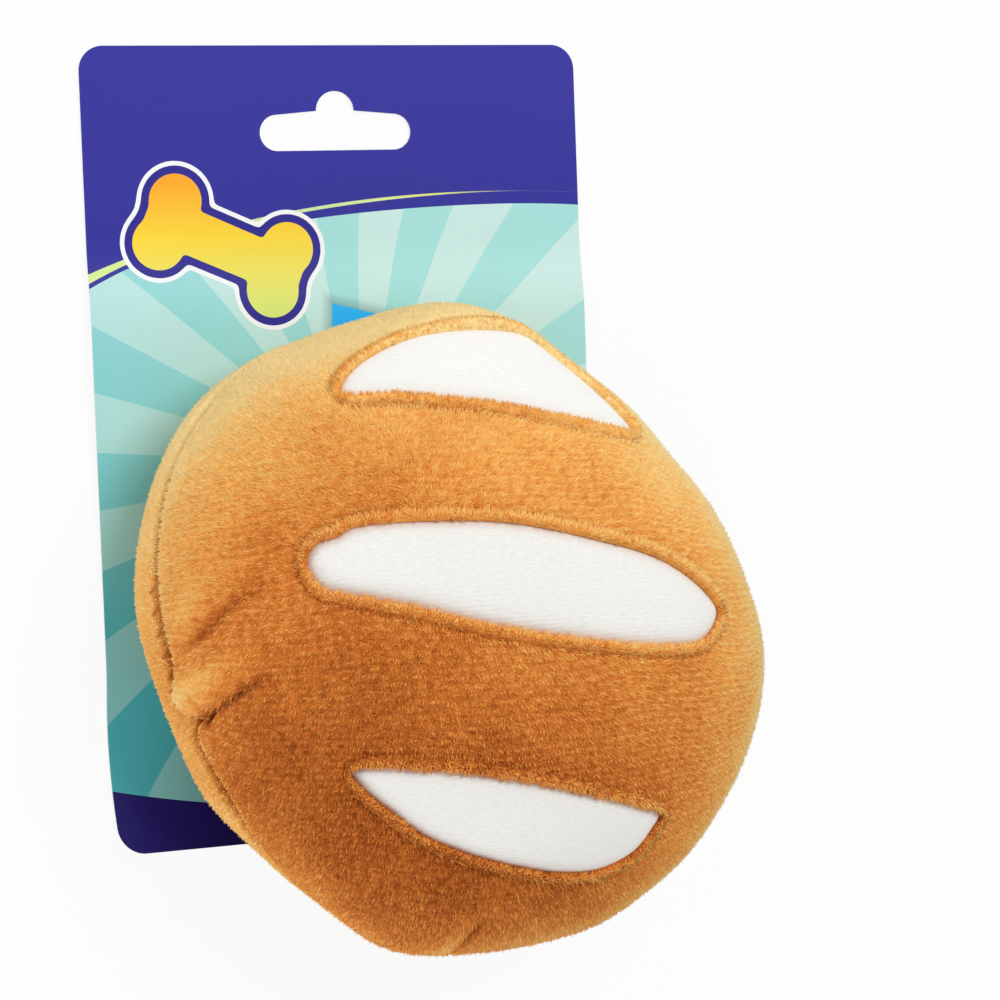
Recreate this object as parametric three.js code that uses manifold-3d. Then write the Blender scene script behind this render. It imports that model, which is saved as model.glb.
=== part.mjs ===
// A squeaky plush dog toy, shaped as a scored bread roll, on its hang card.
// Millimetres, +Z up. The card lies on its back with its top towards +Y, and the toy lies on the card.
// The origin is the middle of the hanging slot's bar, on the card's back face.
import * as THREE from 'three';
import { mergeVertices } from 'three/addons/utils/BufferGeometryUtils.js';
import Module from 'manifold-3d';

const wasm = await Module();
wasm.setup();
const degrees = THREE.MathUtils.degToRad;

// Clearances
const GAP = 0.3;

// Hang card
const CARD_WIDTH = 105;
const CARD_HEIGHT = 160;
const CARD_THICKNESS = 0.6;
const CARD_CORNER = 5;
const CARD_ABOVE_SLOT = 17.6;
const CARD_HEADER = 40;
const CARD_RAMP = 14;
const CARD_CURL_LENGTH = 24;
const CARD_CURL_RISE = 8;

// Hanging slot
const SLOT_WIDTH = 32;
const SLOT_BAR = 7.3;
const SLOT_HUMP = 8;
const SLOT_HEIGHT = 12;

// Tag pins
const PIN_BAR = 1;
const PIN_BAR_LENGTH = 9;
const PIN_FILAMENT = 0.7;
const PIN_SPACING = 30;
const PIN_RIM_INSET = 6;
const SWING_LIMIT = degrees(35);

// Toy body: an oval crowned roll of two panels, pressed flat where it lies on the card
const TOY_X = 13.4;
const TOY_Y = -100.7;
const TOY_TILT = degrees(7);
const BODY_RADIUS = 64;
const OVAL_SHARE = 0.066;
const OVAL_DIRECTION = degrees(131.5);
const LOBE_SHARE = 0.0114;
const LOBE_DIRECTION = degrees(4.2);
const FRONT_CROWN = 34;
const BACK_CROWN = 23;
const CROWN_POWER = 2.6;
const CROWN_SHOULDER = 0.55;
const PRESSED_DEPTH = 3;
const FABRIC = 1.6;

// Seam between the panels, on a plane that leans
const SEAM_RISE = 3.5;
const SEAM_LEAN = degrees(4.5);
const SEAM_LEAN_DIRECTION = degrees(205);
const THREAD = 0.8;

// Closing stitch, where the filling went in
const CLOSING_START = degrees(168);
const CLOSING_END = degrees(192);
const CLOSING_STITCHES = 6;
const CLOSING_REACH = 2.2;

// Score windows: centre, turn, reach each way and roundness, laid out on the flat front pattern
const HEM = 2.8;
const INSET_DROP = 0.5;
const INSET_FABRIC = 1.2;
const STITCH_THREAD = 0.6;
const STITCH_BESIDE_HEM = 2.2;
const WINDOWS = [
  { name: 'upper', x: 16, y: 46.5, turn: degrees(-8.5), left: 46, right: 21, up: 27, down: 2.4, round: 1.8 },
  { name: 'middle', x: 10.9, y: 5, turn: degrees(-10.8), left: 52, right: 41.7, up: 11.9, down: 8, round: 2.24 },
  { name: 'lower', x: 14.9, y: -40.7, turn: degrees(-15.2), left: 50, right: 21.4, up: 5.1, down: 15.2, round: 1.85 },
];

// Squeaker
const SQUEAKER_Z = 4;
const BLADDER_RADIUS = 22;
const BLADDER_HEIGHT = 20;
const BLADDER_WALL = 1;
const NECK_RADIUS = 6.5;
const NECK_LENGTH = 6;
const SLEEVE_WALL = 0.8;
const SLEEVE_LENGTH = 9;
const SLEEVE_FLANGE = 1.2;
const REED_WIDTH = 4.4;
const REED_THICKNESS = 0.3;
const REED_LENGTH = 8;
const REED_CHANNEL_WIDTH = 3.2;
const REED_CHANNEL_DEPTH = 1.8;
const WEDGE_LENGTH = 3.5;

// Facet counts
const OUTER_STEPS = { round: 34, front: 8, back: 6 };
const INNER_STEPS = { round: 18, front: 5, back: 4 };
const WINDOW_STEPS = 18;
const RING_STEPS = 44;
const RIM_STEPS = 60;
const SMALL_ROUND_STEPS = 20;
const THREAD_SIDES = 5;
const STITCH_STEPS = 5;
const BLADDER_STEPS = 5;

// Sizes that follow from the ones above
const CARD_LIFT = PIN_BAR + 2 * GAP;
const CARD_TOP = CARD_ABOVE_SLOT;
const CARD_BOTTOM = CARD_ABOVE_SLOT - CARD_HEIGHT;
const HEADER_END = CARD_TOP - CARD_HEADER;
const TOUCH_DOWN = CARD_BOTTOM + CARD_CURL_LENGTH;
const REST_Z = CARD_LIFT + CARD_THICKNESS + GAP;
const SEAM_GAP = THREAD + 2 * GAP;
const SAMPLES = 60;

// Solids and meshes

function solid(geometry) {
  const bare = geometry.clone();
  bare.deleteAttribute('normal');
  bare.deleteAttribute('uv');
  const merged = mergeVertices(bare, 1e-4);
  const corners = merged.getAttribute('position');
  const index = merged.getIndex().array;
  const triangles = [];
  const a = new THREE.Vector3();
  const b = new THREE.Vector3();
  const c = new THREE.Vector3();
  let volume = 0;
  for (let i = 0; i < index.length; i += 3) {
    const [p, q, r] = [index[i], index[i + 1], index[i + 2]];
    if (p === q || q === r || r === p) continue;
    triangles.push([p, q, r]);
    a.fromBufferAttribute(corners, p);
    b.fromBufferAttribute(corners, q);
    c.fromBufferAttribute(corners, r);
    volume += a.dot(b.cross(c));
  }
  const outward = volume > 0 ? triangles : triangles.map((t) => t.toReversed());
  return new wasm.Manifold(new wasm.Mesh({
    numProp: 3,
    vertProperties: new Float32Array(corners.array),
    triVerts: new Uint32Array(outward.flat()),
  }));
}

function facets(body) {
  const mesh = body.getMesh();
  const geometry = new THREE.BufferGeometry();
  geometry.setAttribute('position', new THREE.BufferAttribute(mesh.vertProperties, 3));
  geometry.setIndex(new THREE.BufferAttribute(mesh.triVerts, 1));
  geometry.computeVertexNormals();
  return geometry;
}

function piece(name, body, color, roughness) {
  const material = new THREE.MeshStandardMaterial({ color, roughness, metalness: 0 });
  const mesh = new THREE.Mesh(facets(body), material);
  mesh.name = name;
  return mesh;
}

function revolve(profile, steps = SMALL_ROUND_STEPS) {
  return new THREE.LatheGeometry(profile, steps).rotateX(Math.PI / 2);
}

function rod(radius, length, sides) {
  return new THREE.CylinderGeometry(radius, radius, length, sides);
}

function extruded(shape, depth, curveSegments = 8) {
  return new THREE.ExtrudeGeometry(shape, { depth, curveSegments, bevelEnabled: false });
}

// A thread that runs round in a ring along a closed curve
function threadRing(points, thickness, steps) {
  const curve = new THREE.CatmullRomCurve3(points, true);
  return new THREE.TubeGeometry(curve, steps, thickness / 2, THREAD_SIDES, true);
}

// Body surface

function rimRadius(angle) {
  const oval = OVAL_SHARE * Math.cos(2 * (angle - OVAL_DIRECTION));
  const lobe = LOBE_SHARE * Math.cos(3 * (angle - LOBE_DIRECTION));
  return BODY_RADIUS * (1 + oval + lobe);
}

function crownHeight(share) {
  return (1 - Math.min(share, 1) ** CROWN_POWER) ** CROWN_SHOULDER;
}

// Height over the card's plane of a body point, measured from the body's centre
function heightFromCentre(y, z) {
  return z * Math.cos(TOY_TILT) - y * Math.sin(TOY_TILT);
}

function lowestBackHeight() {
  let lowest = 0;
  for (let i = 0; i <= SAMPLES; i += 1) {
    const share = i / SAMPLES;
    const y = share * rimRadius(Math.PI / 2);
    lowest = Math.min(lowest, heightFromCentre(y, -BACK_CROWN * crownHeight(share)));
  }
  return lowest;
}

const CENTRE_Z = REST_Z - lowestBackHeight() - PRESSED_DEPTH;

// The flat that the card presses into the back, as a height in the body's own frame
function pressedFlat(y) {
  return (REST_Z - CENTRE_Z + y * Math.sin(TOY_TILT)) / Math.cos(TOY_TILT);
}

// The roll's outer form, drawn in all round by an inset
function bodyForm(inset, steps) {
  const profile = [];
  for (let i = 0; i <= steps.back; i += 1) {
    const share = Math.sin((i / steps.back) * (Math.PI / 2));
    profile.push(new THREE.Vector2(share, -(BACK_CROWN - inset) * crownHeight(share)));
  }
  for (let i = steps.front - 1; i >= 0; i -= 1) {
    const share = Math.sin((i / steps.front) * (Math.PI / 2));
    profile.push(new THREE.Vector2(share, (FRONT_CROWN - inset) * crownHeight(share)));
  }
  const geometry = revolve(profile, steps.round);
  const corners = geometry.getAttribute('position');
  for (let i = 0; i < corners.count; i += 1) {
    const angle = Math.atan2(corners.getY(i), corners.getX(i));
    const radius = Math.hypot(corners.getX(i), corners.getY(i)) * (rimRadius(angle) - inset);
    const y = radius * Math.sin(angle);
    const z = Math.max(corners.getZ(i), pressedFlat(y) + inset);
    corners.setXYZ(i, radius * Math.cos(angle), y, z);
  }
  return solid(geometry);
}

// A point of the front, from its place on the flat pattern; a negative inset lies above the fabric
function frontPoint(x, y, inset) {
  const angle = Math.atan2(y, x);
  const bend = Math.min(Math.hypot(x, y) / rimRadius(angle), Math.PI / 2);
  const share = Math.sin(bend);
  const radius = share * (rimRadius(angle) - inset);
  const z = (FRONT_CROWN - inset) * crownHeight(share);
  return new THREE.Vector3(radius * Math.cos(angle), radius * Math.sin(angle), z);
}

// Seam

const SEAM_NORMAL = new THREE.Vector3(
  -Math.sin(SEAM_LEAN) * Math.cos(SEAM_LEAN_DIRECTION),
  -Math.sin(SEAM_LEAN) * Math.sin(SEAM_LEAN_DIRECTION),
  Math.cos(SEAM_LEAN),
);

// Everything on one side of the seam plane, from a distance off it
function seamSide(side, distance) {
  const reach = 3 * BODY_RADIUS;
  const box = new THREE.BoxGeometry(reach, reach, reach);
  box.translate(0, 0, side * (reach / 2 + distance));
  box.applyQuaternion(new THREE.Quaternion().setFromUnitVectors(new THREE.Vector3(0, 0, 1), SEAM_NORMAL));
  box.translate(0, 0, SEAM_RISE);
  return solid(box);
}

// A point beside the seam, a distance above or below it on the body drawn in by an inset
function seamPoint(angle, above, inset) {
  const crown = (z) => (z > 0 ? FRONT_CROWN : BACK_CROWN) - inset;
  const slope = Math.tan(SEAM_LEAN) * Math.cos(angle - SEAM_LEAN_DIRECTION);
  let radius = rimRadius(angle) - inset;
  let z = SEAM_RISE + above;
  for (let i = 0; i < 6; i += 1) {
    z = SEAM_RISE + above + slope * radius;
    const rise = (Math.abs(z) / crown(z)) ** (1 / CROWN_SHOULDER);
    radius = (rimRadius(angle) - inset) * (1 - rise) ** (1 / CROWN_POWER);
  }
  return new THREE.Vector3(radius * Math.cos(angle), radius * Math.sin(angle), z);
}

// Score windows

function windowPattern(opening, grow) {
  const points = [];
  for (let i = 0; i < WINDOW_STEPS; i += 1) {
    const turn = (i / WINDOW_STEPS) * 2 * Math.PI;
    const along = Math.cos(turn);
    const across = Math.sin(turn);
    const halfLength = (along > 0 ? opening.right : opening.left) + grow;
    const halfHeight = (across > 0 ? opening.up : opening.down) + grow;
    const u = halfLength * Math.sign(along) * Math.abs(along) ** (2 / opening.round);
    const v = halfHeight * Math.sign(across) * Math.abs(across) ** (2 / opening.round);
    const place = new THREE.Vector2(u, v).rotateAround(new THREE.Vector2(), opening.turn);
    points.push(place.add(new THREE.Vector2(opening.x, opening.y)));
  }
  return points;
}

function windowLoop(opening, grow, inset) {
  return windowPattern(opening, grow).map((p) => frontPoint(p.x, p.y, inset));
}

// A wedge through the front with the window's outline, spreading from a point behind the body
function windowWedge(opening, grow) {
  const source = new THREE.Vector3(0, 0, -BACK_CROWN);
  const loop = windowLoop(opening, grow, 0);
  const scaled = (share) => loop.map((p) => p.clone().sub(source).multiplyScalar(share).add(source));
  const corners = [...scaled(0.55), ...scaled(1.45)];
  const count = loop.length;
  const index = [];
  for (let i = 0; i < count; i += 1) {
    const next = (i + 1) % count;
    index.push(i, next, count + next, i, count + next, count + i);
  }
  for (const [a, b, c] of THREE.ShapeUtils.triangulateShape(windowPattern(opening, grow), [])) {
    index.push(count + a, count + b, count + c, c, b, a);
  }
  const geometry = new THREE.BufferGeometry().setFromPoints(corners);
  geometry.setIndex(index);
  return solid(geometry);
}

function hemRoll(opening, thickness) {
  return solid(threadRing(windowLoop(opening, HEM / 2, 0), thickness, WINDOW_STEPS));
}

// Hang card

function cardRise(y) {
  const upper = THREE.MathUtils.smoothstep(HEADER_END - y, 0, CARD_RAMP);
  const lower = THREE.MathUtils.smoothstep(y - TOUCH_DOWN, 0, CARD_RAMP);
  const curl = Math.max(0, TOUCH_DOWN - y) / CARD_CURL_LENGTH;
  return CARD_LIFT * upper * lower + CARD_CURL_RISE * curl ** 2;
}

function cardSlot() {
  const end = SLOT_BAR / 2;
  const reach = SLOT_WIDTH / 2 - end;
  const hump = SLOT_HUMP / 2;
  const humpCentre = SLOT_HEIGHT - end - hump;
  const slot = new THREE.Path();
  slot.moveTo(-reach, -end);
  slot.lineTo(reach, -end);
  slot.absarc(reach, 0, end, -Math.PI / 2, Math.PI / 2, false);
  slot.lineTo(hump, end);
  slot.absarc(0, humpCentre, hump, 0, Math.PI, false);
  slot.lineTo(-hump, end);
  slot.absarc(-reach, 0, end, Math.PI / 2, 1.5 * Math.PI, false);
  return slot;
}

function pinSlit(x, y) {
  const half = PIN_FILAMENT / 2 + GAP;
  const rise = CARD_LIFT + CARD_THICKNESS - PIN_BAR_Z;
  const reach = rise * Math.tan(SWING_LIMIT) + PIN_FILAMENT / 2 / Math.cos(SWING_LIMIT) + GAP;
  const depth = 4 * (CARD_LIFT + CARD_THICKNESS);
  const box = new THREE.BoxGeometry(2 * half, half + reach, depth);
  return solid(box.translate(x, y + (reach - half) / 2, 0));
}

function cardOutline() {
  const side = CARD_WIDTH / 2;
  const r = CARD_CORNER;
  const outline = new THREE.Shape();
  outline.moveTo(-side + r, CARD_BOTTOM);
  outline.absarc(side - r, CARD_BOTTOM + r, r, -Math.PI / 2, 0, false);
  outline.absarc(side - r, CARD_TOP - r, r, 0, Math.PI / 2, false);
  outline.absarc(-side + r, CARD_TOP - r, r, Math.PI / 2, Math.PI, false);
  outline.absarc(-side + r, CARD_BOTTOM + r, r, Math.PI, 1.5 * Math.PI, false);
  outline.holes.push(cardSlot());
  return outline;
}

// The bent sheet that the card is cut from, drawn from the side
function cardSheet() {
  const reach = CARD_HEIGHT + 2 * CARD_CORNER;
  const stations = [];
  for (let i = 0; i <= SAMPLES / 2; i += 1) {
    stations.push(CARD_BOTTOM - CARD_CORNER + (reach * i) / (SAMPLES / 2));
  }
  const back = stations.map((y) => new THREE.Vector2(y, cardRise(y)));
  const face = stations.map((y) => new THREE.Vector2(y, cardRise(y) + CARD_THICKNESS)).reverse();
  const sheet = extruded(new THREE.Shape([...back, ...face]), CARD_WIDTH + 2 * CARD_CORNER);
  const axes = new THREE.Matrix4().makeBasis(
    new THREE.Vector3(0, 1, 0),
    new THREE.Vector3(0, 0, 1),
    new THREE.Vector3(1, 0, 0),
  );
  return solid(sheet.applyMatrix4(axes).translate(-CARD_WIDTH / 2 - CARD_CORNER, 0, 0));
}

function hangCard() {
  const reach = 2 * (CARD_CURL_RISE + CARD_LIFT + CARD_THICKNESS);
  const prism = extruded(cardOutline(), 2 * reach).translate(0, 0, -reach);
  const cut = cardSheet().intersect(solid(prism));
  return PIN_PLACES.reduce((card, x) => card.subtract(pinSlit(x, PIN_Y)), cut);
}

// Tag pins

const toy = new THREE.Group();
toy.rotation.x = -TOY_TILT;
toy.position.set(TOY_X, TOY_Y, CENTRE_Z);
toy.updateMatrix();

const PIN_BAR_Z = CARD_LIFT - GAP - PIN_BAR / 2;
const PIN_PLACES = [TOY_X - PIN_SPACING / 2, TOY_X + PIN_SPACING / 2];
const PIN_NAMES = ['left', 'right'];

// Where the pins go through the back panel, in the body's frame, on the side nearer the slot
function pinRow() {
  const half = PIN_SPACING / 2;
  const rows = [-half, half].map((x) => {
    const inside = rimRadius(Math.atan2(BODY_RADIUS, x)) - PIN_RIM_INSET;
    return Math.sqrt(inside ** 2 - half ** 2);
  });
  return Math.min(...rows);
}

function backHeight(x, y) {
  return -BACK_CROWN * crownHeight(Math.hypot(x, y) / rimRadius(Math.atan2(y, x)));
}

const PIN_ROW = pinRow();
const PIN_Y = new THREE.Vector3(0, PIN_ROW, backHeight(0, PIN_ROW)).applyMatrix4(toy.matrix).y;

// Height of a pin's inner bar, which lies on the sloping inside of the back panel
function pinInnerHeight(x) {
  const step = 0.5;
  const across = x - TOY_X;
  const entry = new THREE.Vector3(across, PIN_ROW, backHeight(across, PIN_ROW)).applyMatrix4(toy.matrix);
  const rise = backHeight(across, PIN_ROW + step) - backHeight(across, PIN_ROW);
  const slope = Math.atan2(rise, step) - TOY_TILT;
  return entry.z + (FABRIC + 2 * GAP + PIN_BAR) / Math.cos(slope);
}

function pinForm(x, grow) {
  const innerHeight = pinInnerHeight(x);
  const height = innerHeight - PIN_BAR_Z;
  const filament = rod(PIN_FILAMENT / 2 + grow, height, 8).rotateX(Math.PI / 2);
  filament.translate(x, PIN_Y, PIN_BAR_Z + height / 2);
  const bar = rod(PIN_BAR / 2 + grow, PIN_BAR_LENGTH + 2 * grow, 10).rotateZ(Math.PI / 2);
  const outer = solid(bar.clone().translate(x, PIN_Y, PIN_BAR_Z));
  const inner = solid(bar.translate(x, PIN_Y, innerHeight));
  return solid(filament).add(outer).add(inner);
}

// The room that the pins need, in the body's frame
function pinRoom() {
  const toBody = toy.matrix.clone().invert();
  const rooms = PIN_PLACES.map((x) => solid(facets(pinForm(x, GAP)).applyMatrix4(toBody)));
  return rooms[0].add(rooms[1]);
}

// Panels, insets and filling

const OUTER_FORM = bodyForm(0, OUTER_STEPS);
const LINING_FORM = bodyForm(FABRIC, INNER_STEPS);
const FILLING_FORM = bodyForm(INSET_DROP + INSET_FABRIC + GAP, INNER_STEPS);
const PIN_ROOM = pinRoom();

function frontPanel() {
  let panel = OUTER_FORM.subtract(LINING_FORM).intersect(seamSide(1, SEAM_GAP / 2));
  for (const opening of WINDOWS) {
    panel = panel.subtract(windowWedge(opening, HEM / 2));
  }
  const room = seamSide(1, SEAM_GAP / 2).subtract(LINING_FORM);
  for (const opening of WINDOWS) {
    panel = panel.add(hemRoll(opening, HEM).intersect(room));
  }
  return panel;
}

function backPanel() {
  return OUTER_FORM.subtract(LINING_FORM).intersect(seamSide(-1, SEAM_GAP / 2)).subtract(PIN_ROOM);
}

// The patch in a window stops short of the window's tips, where the hem closes over it
function windowInset(opening) {
  const trimmed = { ...opening, left: opening.left - HEM / 2, right: opening.right - HEM / 2 };
  const upper = bodyForm(INSET_DROP, OUTER_STEPS);
  const lower = bodyForm(INSET_DROP + INSET_FABRIC, OUTER_STEPS);
  const patch = upper.subtract(lower).intersect(seamSide(1, SEAM_GAP / 2));
  return patch.intersect(windowWedge(trimmed, -GAP)).subtract(hemRoll(opening, HEM + 2 * GAP));
}

function windowStitch(opening) {
  const loop = windowLoop(opening, HEM + STITCH_BESIDE_HEM, -GAP - STITCH_THREAD / 2);
  return solid(threadRing(loop, STITCH_THREAD, RING_STEPS));
}

function rimSeamThread() {
  const loop = [];
  for (let i = 0; i < RIM_STEPS; i += 1) {
    loop.push(seamPoint((i / RIM_STEPS) * 2 * Math.PI, 0, FABRIC / 2));
  }
  return solid(threadRing(loop, THREAD, RIM_STEPS));
}

// A ladder of stitches that crosses the seam from panel to panel
function closingStitch() {
  const clear = -GAP - STITCH_THREAD;
  const points = [];
  for (let i = 0; i <= 2 * CLOSING_STITCHES; i += 1) {
    const angle = THREE.MathUtils.lerp(CLOSING_START, CLOSING_END, i / (2 * CLOSING_STITCHES));
    const above = i % 2 === 0 ? CLOSING_REACH : -CLOSING_REACH;
    points.push(seamPoint(angle, above, clear));
  }
  const route = new THREE.CatmullRomCurve3(points, false, 'catmullrom', 0.3);
  const section = new THREE.Shape().absarc(0, 0, STITCH_THREAD / 2, 0, 2 * Math.PI, false);
  const options = { steps: STITCH_STEPS * CLOSING_STITCHES, extrudePath: route, curveSegments: 3 };
  return solid(new THREE.ExtrudeGeometry(section, options));
}

function filling(side) {
  return FILLING_FORM.intersect(seamSide(side, GAP / 2)).subtract(squeakerRoom()).subtract(PIN_ROOM);
}

// Squeaker: a moulded bladder whose neck points to the back, with a reed whistle in the neck

const BLADDER_TOP = SQUEAKER_Z + BLADDER_HEIGHT / 2;
const BLADDER_BASE = SQUEAKER_Z - BLADDER_HEIGHT / 2;
const NECK_END = BLADDER_BASE - NECK_LENGTH;
const SLEEVE_RADIUS = NECK_RADIUS - BLADDER_WALL - GAP;
const SLEEVE_BORE = SLEEVE_RADIUS - SLEEVE_WALL;
const SLEEVE_BASE = NECK_END - GAP - SLEEVE_FLANGE;
const SEAT_RADIUS = SLEEVE_BORE - GAP;
const SEAT_FACE = REED_THICKNESS / 2 + GAP;
const SEAT_TOP = SLEEVE_BASE + SLEEVE_LENGTH;

// Half of the bladder's outline, from the foot of its neck up to its middle
function bladderProfile(inset) {
  const edge = BLADDER_HEIGHT / 2 - inset;
  const outline = new THREE.Path();
  outline.moveTo(NECK_RADIUS - inset, NECK_END);
  outline.lineTo(NECK_RADIUS - inset, BLADDER_BASE + inset);
  outline.absarc(BLADDER_RADIUS - BLADDER_HEIGHT / 2, SQUEAKER_Z, edge, -Math.PI / 2, Math.PI / 2, false);
  outline.lineTo(0, BLADDER_TOP - inset);
  return outline.getPoints(BLADDER_STEPS);
}

function squeakerBladder() {
  const outside = bladderProfile(0);
  const inside = bladderProfile(BLADDER_WALL).reverse();
  return solid(revolve([...outside, ...inside, outside[0]]));
}

function squeakerRoom() {
  const foot = SLEEVE_BASE - GAP;
  const outline = bladderProfile(-GAP);
  const neck = NECK_RADIUS + GAP;
  return solid(revolve([new THREE.Vector2(0, foot), new THREE.Vector2(neck, foot), ...outline.slice(1)]));
}

function whistleSleeve() {
  const flangeTop = SLEEVE_BASE + SLEEVE_FLANGE;
  const profile = [
    [SLEEVE_BORE, SLEEVE_BASE], [NECK_RADIUS, SLEEVE_BASE], [NECK_RADIUS, flangeTop],
    [SLEEVE_RADIUS, flangeTop], [SLEEVE_RADIUS, SEAT_TOP], [SLEEVE_BORE, SEAT_TOP], [SLEEVE_BORE, SLEEVE_BASE],
  ];
  return solid(revolve(profile.map(([x, y]) => new THREE.Vector2(x, y))));
}

// The larger part of a round plug, with a flat face for the reed and an air channel down it
function reedSeat() {
  const reach = Math.asin(SEAT_FACE / SEAT_RADIUS);
  const edge = SEAT_RADIUS * Math.cos(reach);
  const channel = REED_CHANNEL_WIDTH / 2;
  const outline = new THREE.Shape();
  outline.absarc(0, 0, SEAT_RADIUS, Math.PI + reach, 2 * Math.PI - reach, false);
  outline.lineTo(edge, -SEAT_FACE);
  outline.lineTo(channel, -SEAT_FACE);
  outline.lineTo(channel, -SEAT_FACE - REED_CHANNEL_DEPTH);
  outline.lineTo(-channel, -SEAT_FACE - REED_CHANNEL_DEPTH);
  outline.lineTo(-channel, -SEAT_FACE);
  return solid(extruded(outline, SLEEVE_LENGTH).translate(0, 0, SLEEVE_BASE));
}

function reedWedge() {
  const reach = Math.asin(SEAT_FACE / SEAT_RADIUS);
  const outline = new THREE.Shape();
  outline.absarc(0, 0, SEAT_RADIUS, reach, Math.PI - reach, false);
  return solid(extruded(outline, WEDGE_LENGTH).translate(0, 0, SEAT_TOP - WEDGE_LENGTH));
}

function reed() {
  const strip = new THREE.BoxGeometry(REED_WIDTH, REED_THICKNESS, REED_LENGTH);
  return solid(strip.translate(0, 0, SEAT_TOP - REED_LENGTH / 2));
}

// Assembly

const BROWN = 0xbe6f2f;
const WHITE = 0xf0f0ec;
const NAVY = 0x2f2a7a;
const CLEAR_NYLON = 0xe4e6e4;
const WADDING = 0xf5f4ee;
const MOULDED = 0xdfe3e2;

toy.add(piece('front_panel', frontPanel(), BROWN, 0.9));
toy.add(piece('back_panel', backPanel(), BROWN, 0.9));
for (const opening of WINDOWS) {
  toy.add(piece(`inset_${opening.name}`, windowInset(opening), WHITE, 0.85));
  toy.add(piece(`window_stitch_${opening.name}`, windowStitch(opening), BROWN, 0.7));
}
toy.add(piece('rim_seam_thread', rimSeamThread(), BROWN, 0.7));
toy.add(piece('closing_stitch', closingStitch(), BROWN, 0.7));
toy.add(piece('front_stuffing', filling(1), WADDING, 0.95));
toy.add(piece('back_stuffing', filling(-1), WADDING, 0.95));
toy.add(piece('squeaker_bladder', squeakerBladder(), MOULDED, 0.45));
toy.add(piece('whistle_sleeve', whistleSleeve(), MOULDED, 0.4));
toy.add(piece('reed_seat', reedSeat(), MOULDED, 0.4));
toy.add(piece('reed_wedge', reedWedge(), MOULDED, 0.4));
toy.add(piece('reed', reed(), MOULDED, 0.3));

const cardedToy = new THREE.Group();
cardedToy.add(piece('hang_card', hangCard(), NAVY, 0.45));
PIN_PLACES.forEach((x, i) => {
  cardedToy.add(piece(`tag_pin_${PIN_NAMES[i]}`, pinForm(x, 0), CLEAR_NYLON, 0.35));
});
cardedToy.add(toy);

export default cardedToy;
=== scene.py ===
import math

import bpy
import numpy as np
from mathutils import Matrix, Vector, kdtree
from mathutils.geometry import delaunay_2d_cdt

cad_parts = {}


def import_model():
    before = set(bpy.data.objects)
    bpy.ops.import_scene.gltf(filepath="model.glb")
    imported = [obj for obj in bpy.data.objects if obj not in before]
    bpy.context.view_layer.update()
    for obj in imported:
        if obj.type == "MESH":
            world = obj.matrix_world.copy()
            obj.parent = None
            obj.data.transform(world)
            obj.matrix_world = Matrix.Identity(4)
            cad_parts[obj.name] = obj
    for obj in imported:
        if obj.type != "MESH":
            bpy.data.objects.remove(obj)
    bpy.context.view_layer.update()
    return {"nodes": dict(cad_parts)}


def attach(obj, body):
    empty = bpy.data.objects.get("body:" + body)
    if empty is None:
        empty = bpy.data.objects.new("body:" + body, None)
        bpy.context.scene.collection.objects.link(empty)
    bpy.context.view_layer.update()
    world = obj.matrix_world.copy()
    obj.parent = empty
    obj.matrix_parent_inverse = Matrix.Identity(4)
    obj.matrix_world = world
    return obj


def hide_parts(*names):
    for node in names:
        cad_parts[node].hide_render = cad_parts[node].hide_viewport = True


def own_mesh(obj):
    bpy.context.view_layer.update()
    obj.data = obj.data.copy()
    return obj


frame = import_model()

# Lengths below are millimetres in the toy's own frame or on the card, and go to metres when a mesh is made.
MM = 0.001
TURN = 2 * math.pi
TINY = 1e-9

# The roll's form, with the same values as the solids
TOY_CENTRE = np.array([13.4, -100.7, 24.28122])
TOY_TILT = math.radians(7)
BODY_RADIUS = 64.0
OVAL = (0.066, math.radians(131.5))
LOBE = (0.0114, math.radians(4.2))
FRONT_CROWN = 34.0
BACK_CROWN = 23.0
CROWN_POWER = 2.6
CROWN_SHOULDER = 0.55
REST_HEIGHT = 2.5
SEAM_RISE = 3.5
SEAM_LEAN = math.radians(4.5)
SEAM_LEAN_DIRECTION = math.radians(205)
# Where the sewn edge runs further back than the solids' flat seam: angles of its ramps, and how far
SEAM_DROP_BEGIN = (206, 236)
SEAM_DROP_END = (290, 330)
SEAM_DROP = 8.0
# Between which bends the seam is looked for, and how often the span is halved
SEAM_BENDS = (0.3 * math.pi, 0.7 * math.pi)
SEAM_HALVINGS = 40

# Card
CARD_SIDE = 52.5
CARD_TOP = 17.6
CARD_BOTTOM = -142.4
CARD_CORNER = 5.0
CARD_THICKNESS = 0.6
CARD_LIFT = 1.6
CARD_HEADER_END = -22.4
CARD_TOUCH_DOWN = -118.4
CARD_RAMP = 14.0
CARD_CURL_LENGTH = 24.0
CARD_CURL_RISE = 8.0
CARD_STEP = 3.0
CARD_ARC = 14
SLOT_REACH = 12.35
SLOT_END = 3.65
SLOT_HUMP = 4.0
SLOT_HUMP_CENTRE = 4.35
SLOT_STEP = 2.0
SLOT_ARC = 20
PIN_X = (-1.6, 28.4)
PIN_Y = -48.741
SLIT_HALF = 0.65
SLIT_REACH = 1.71

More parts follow.
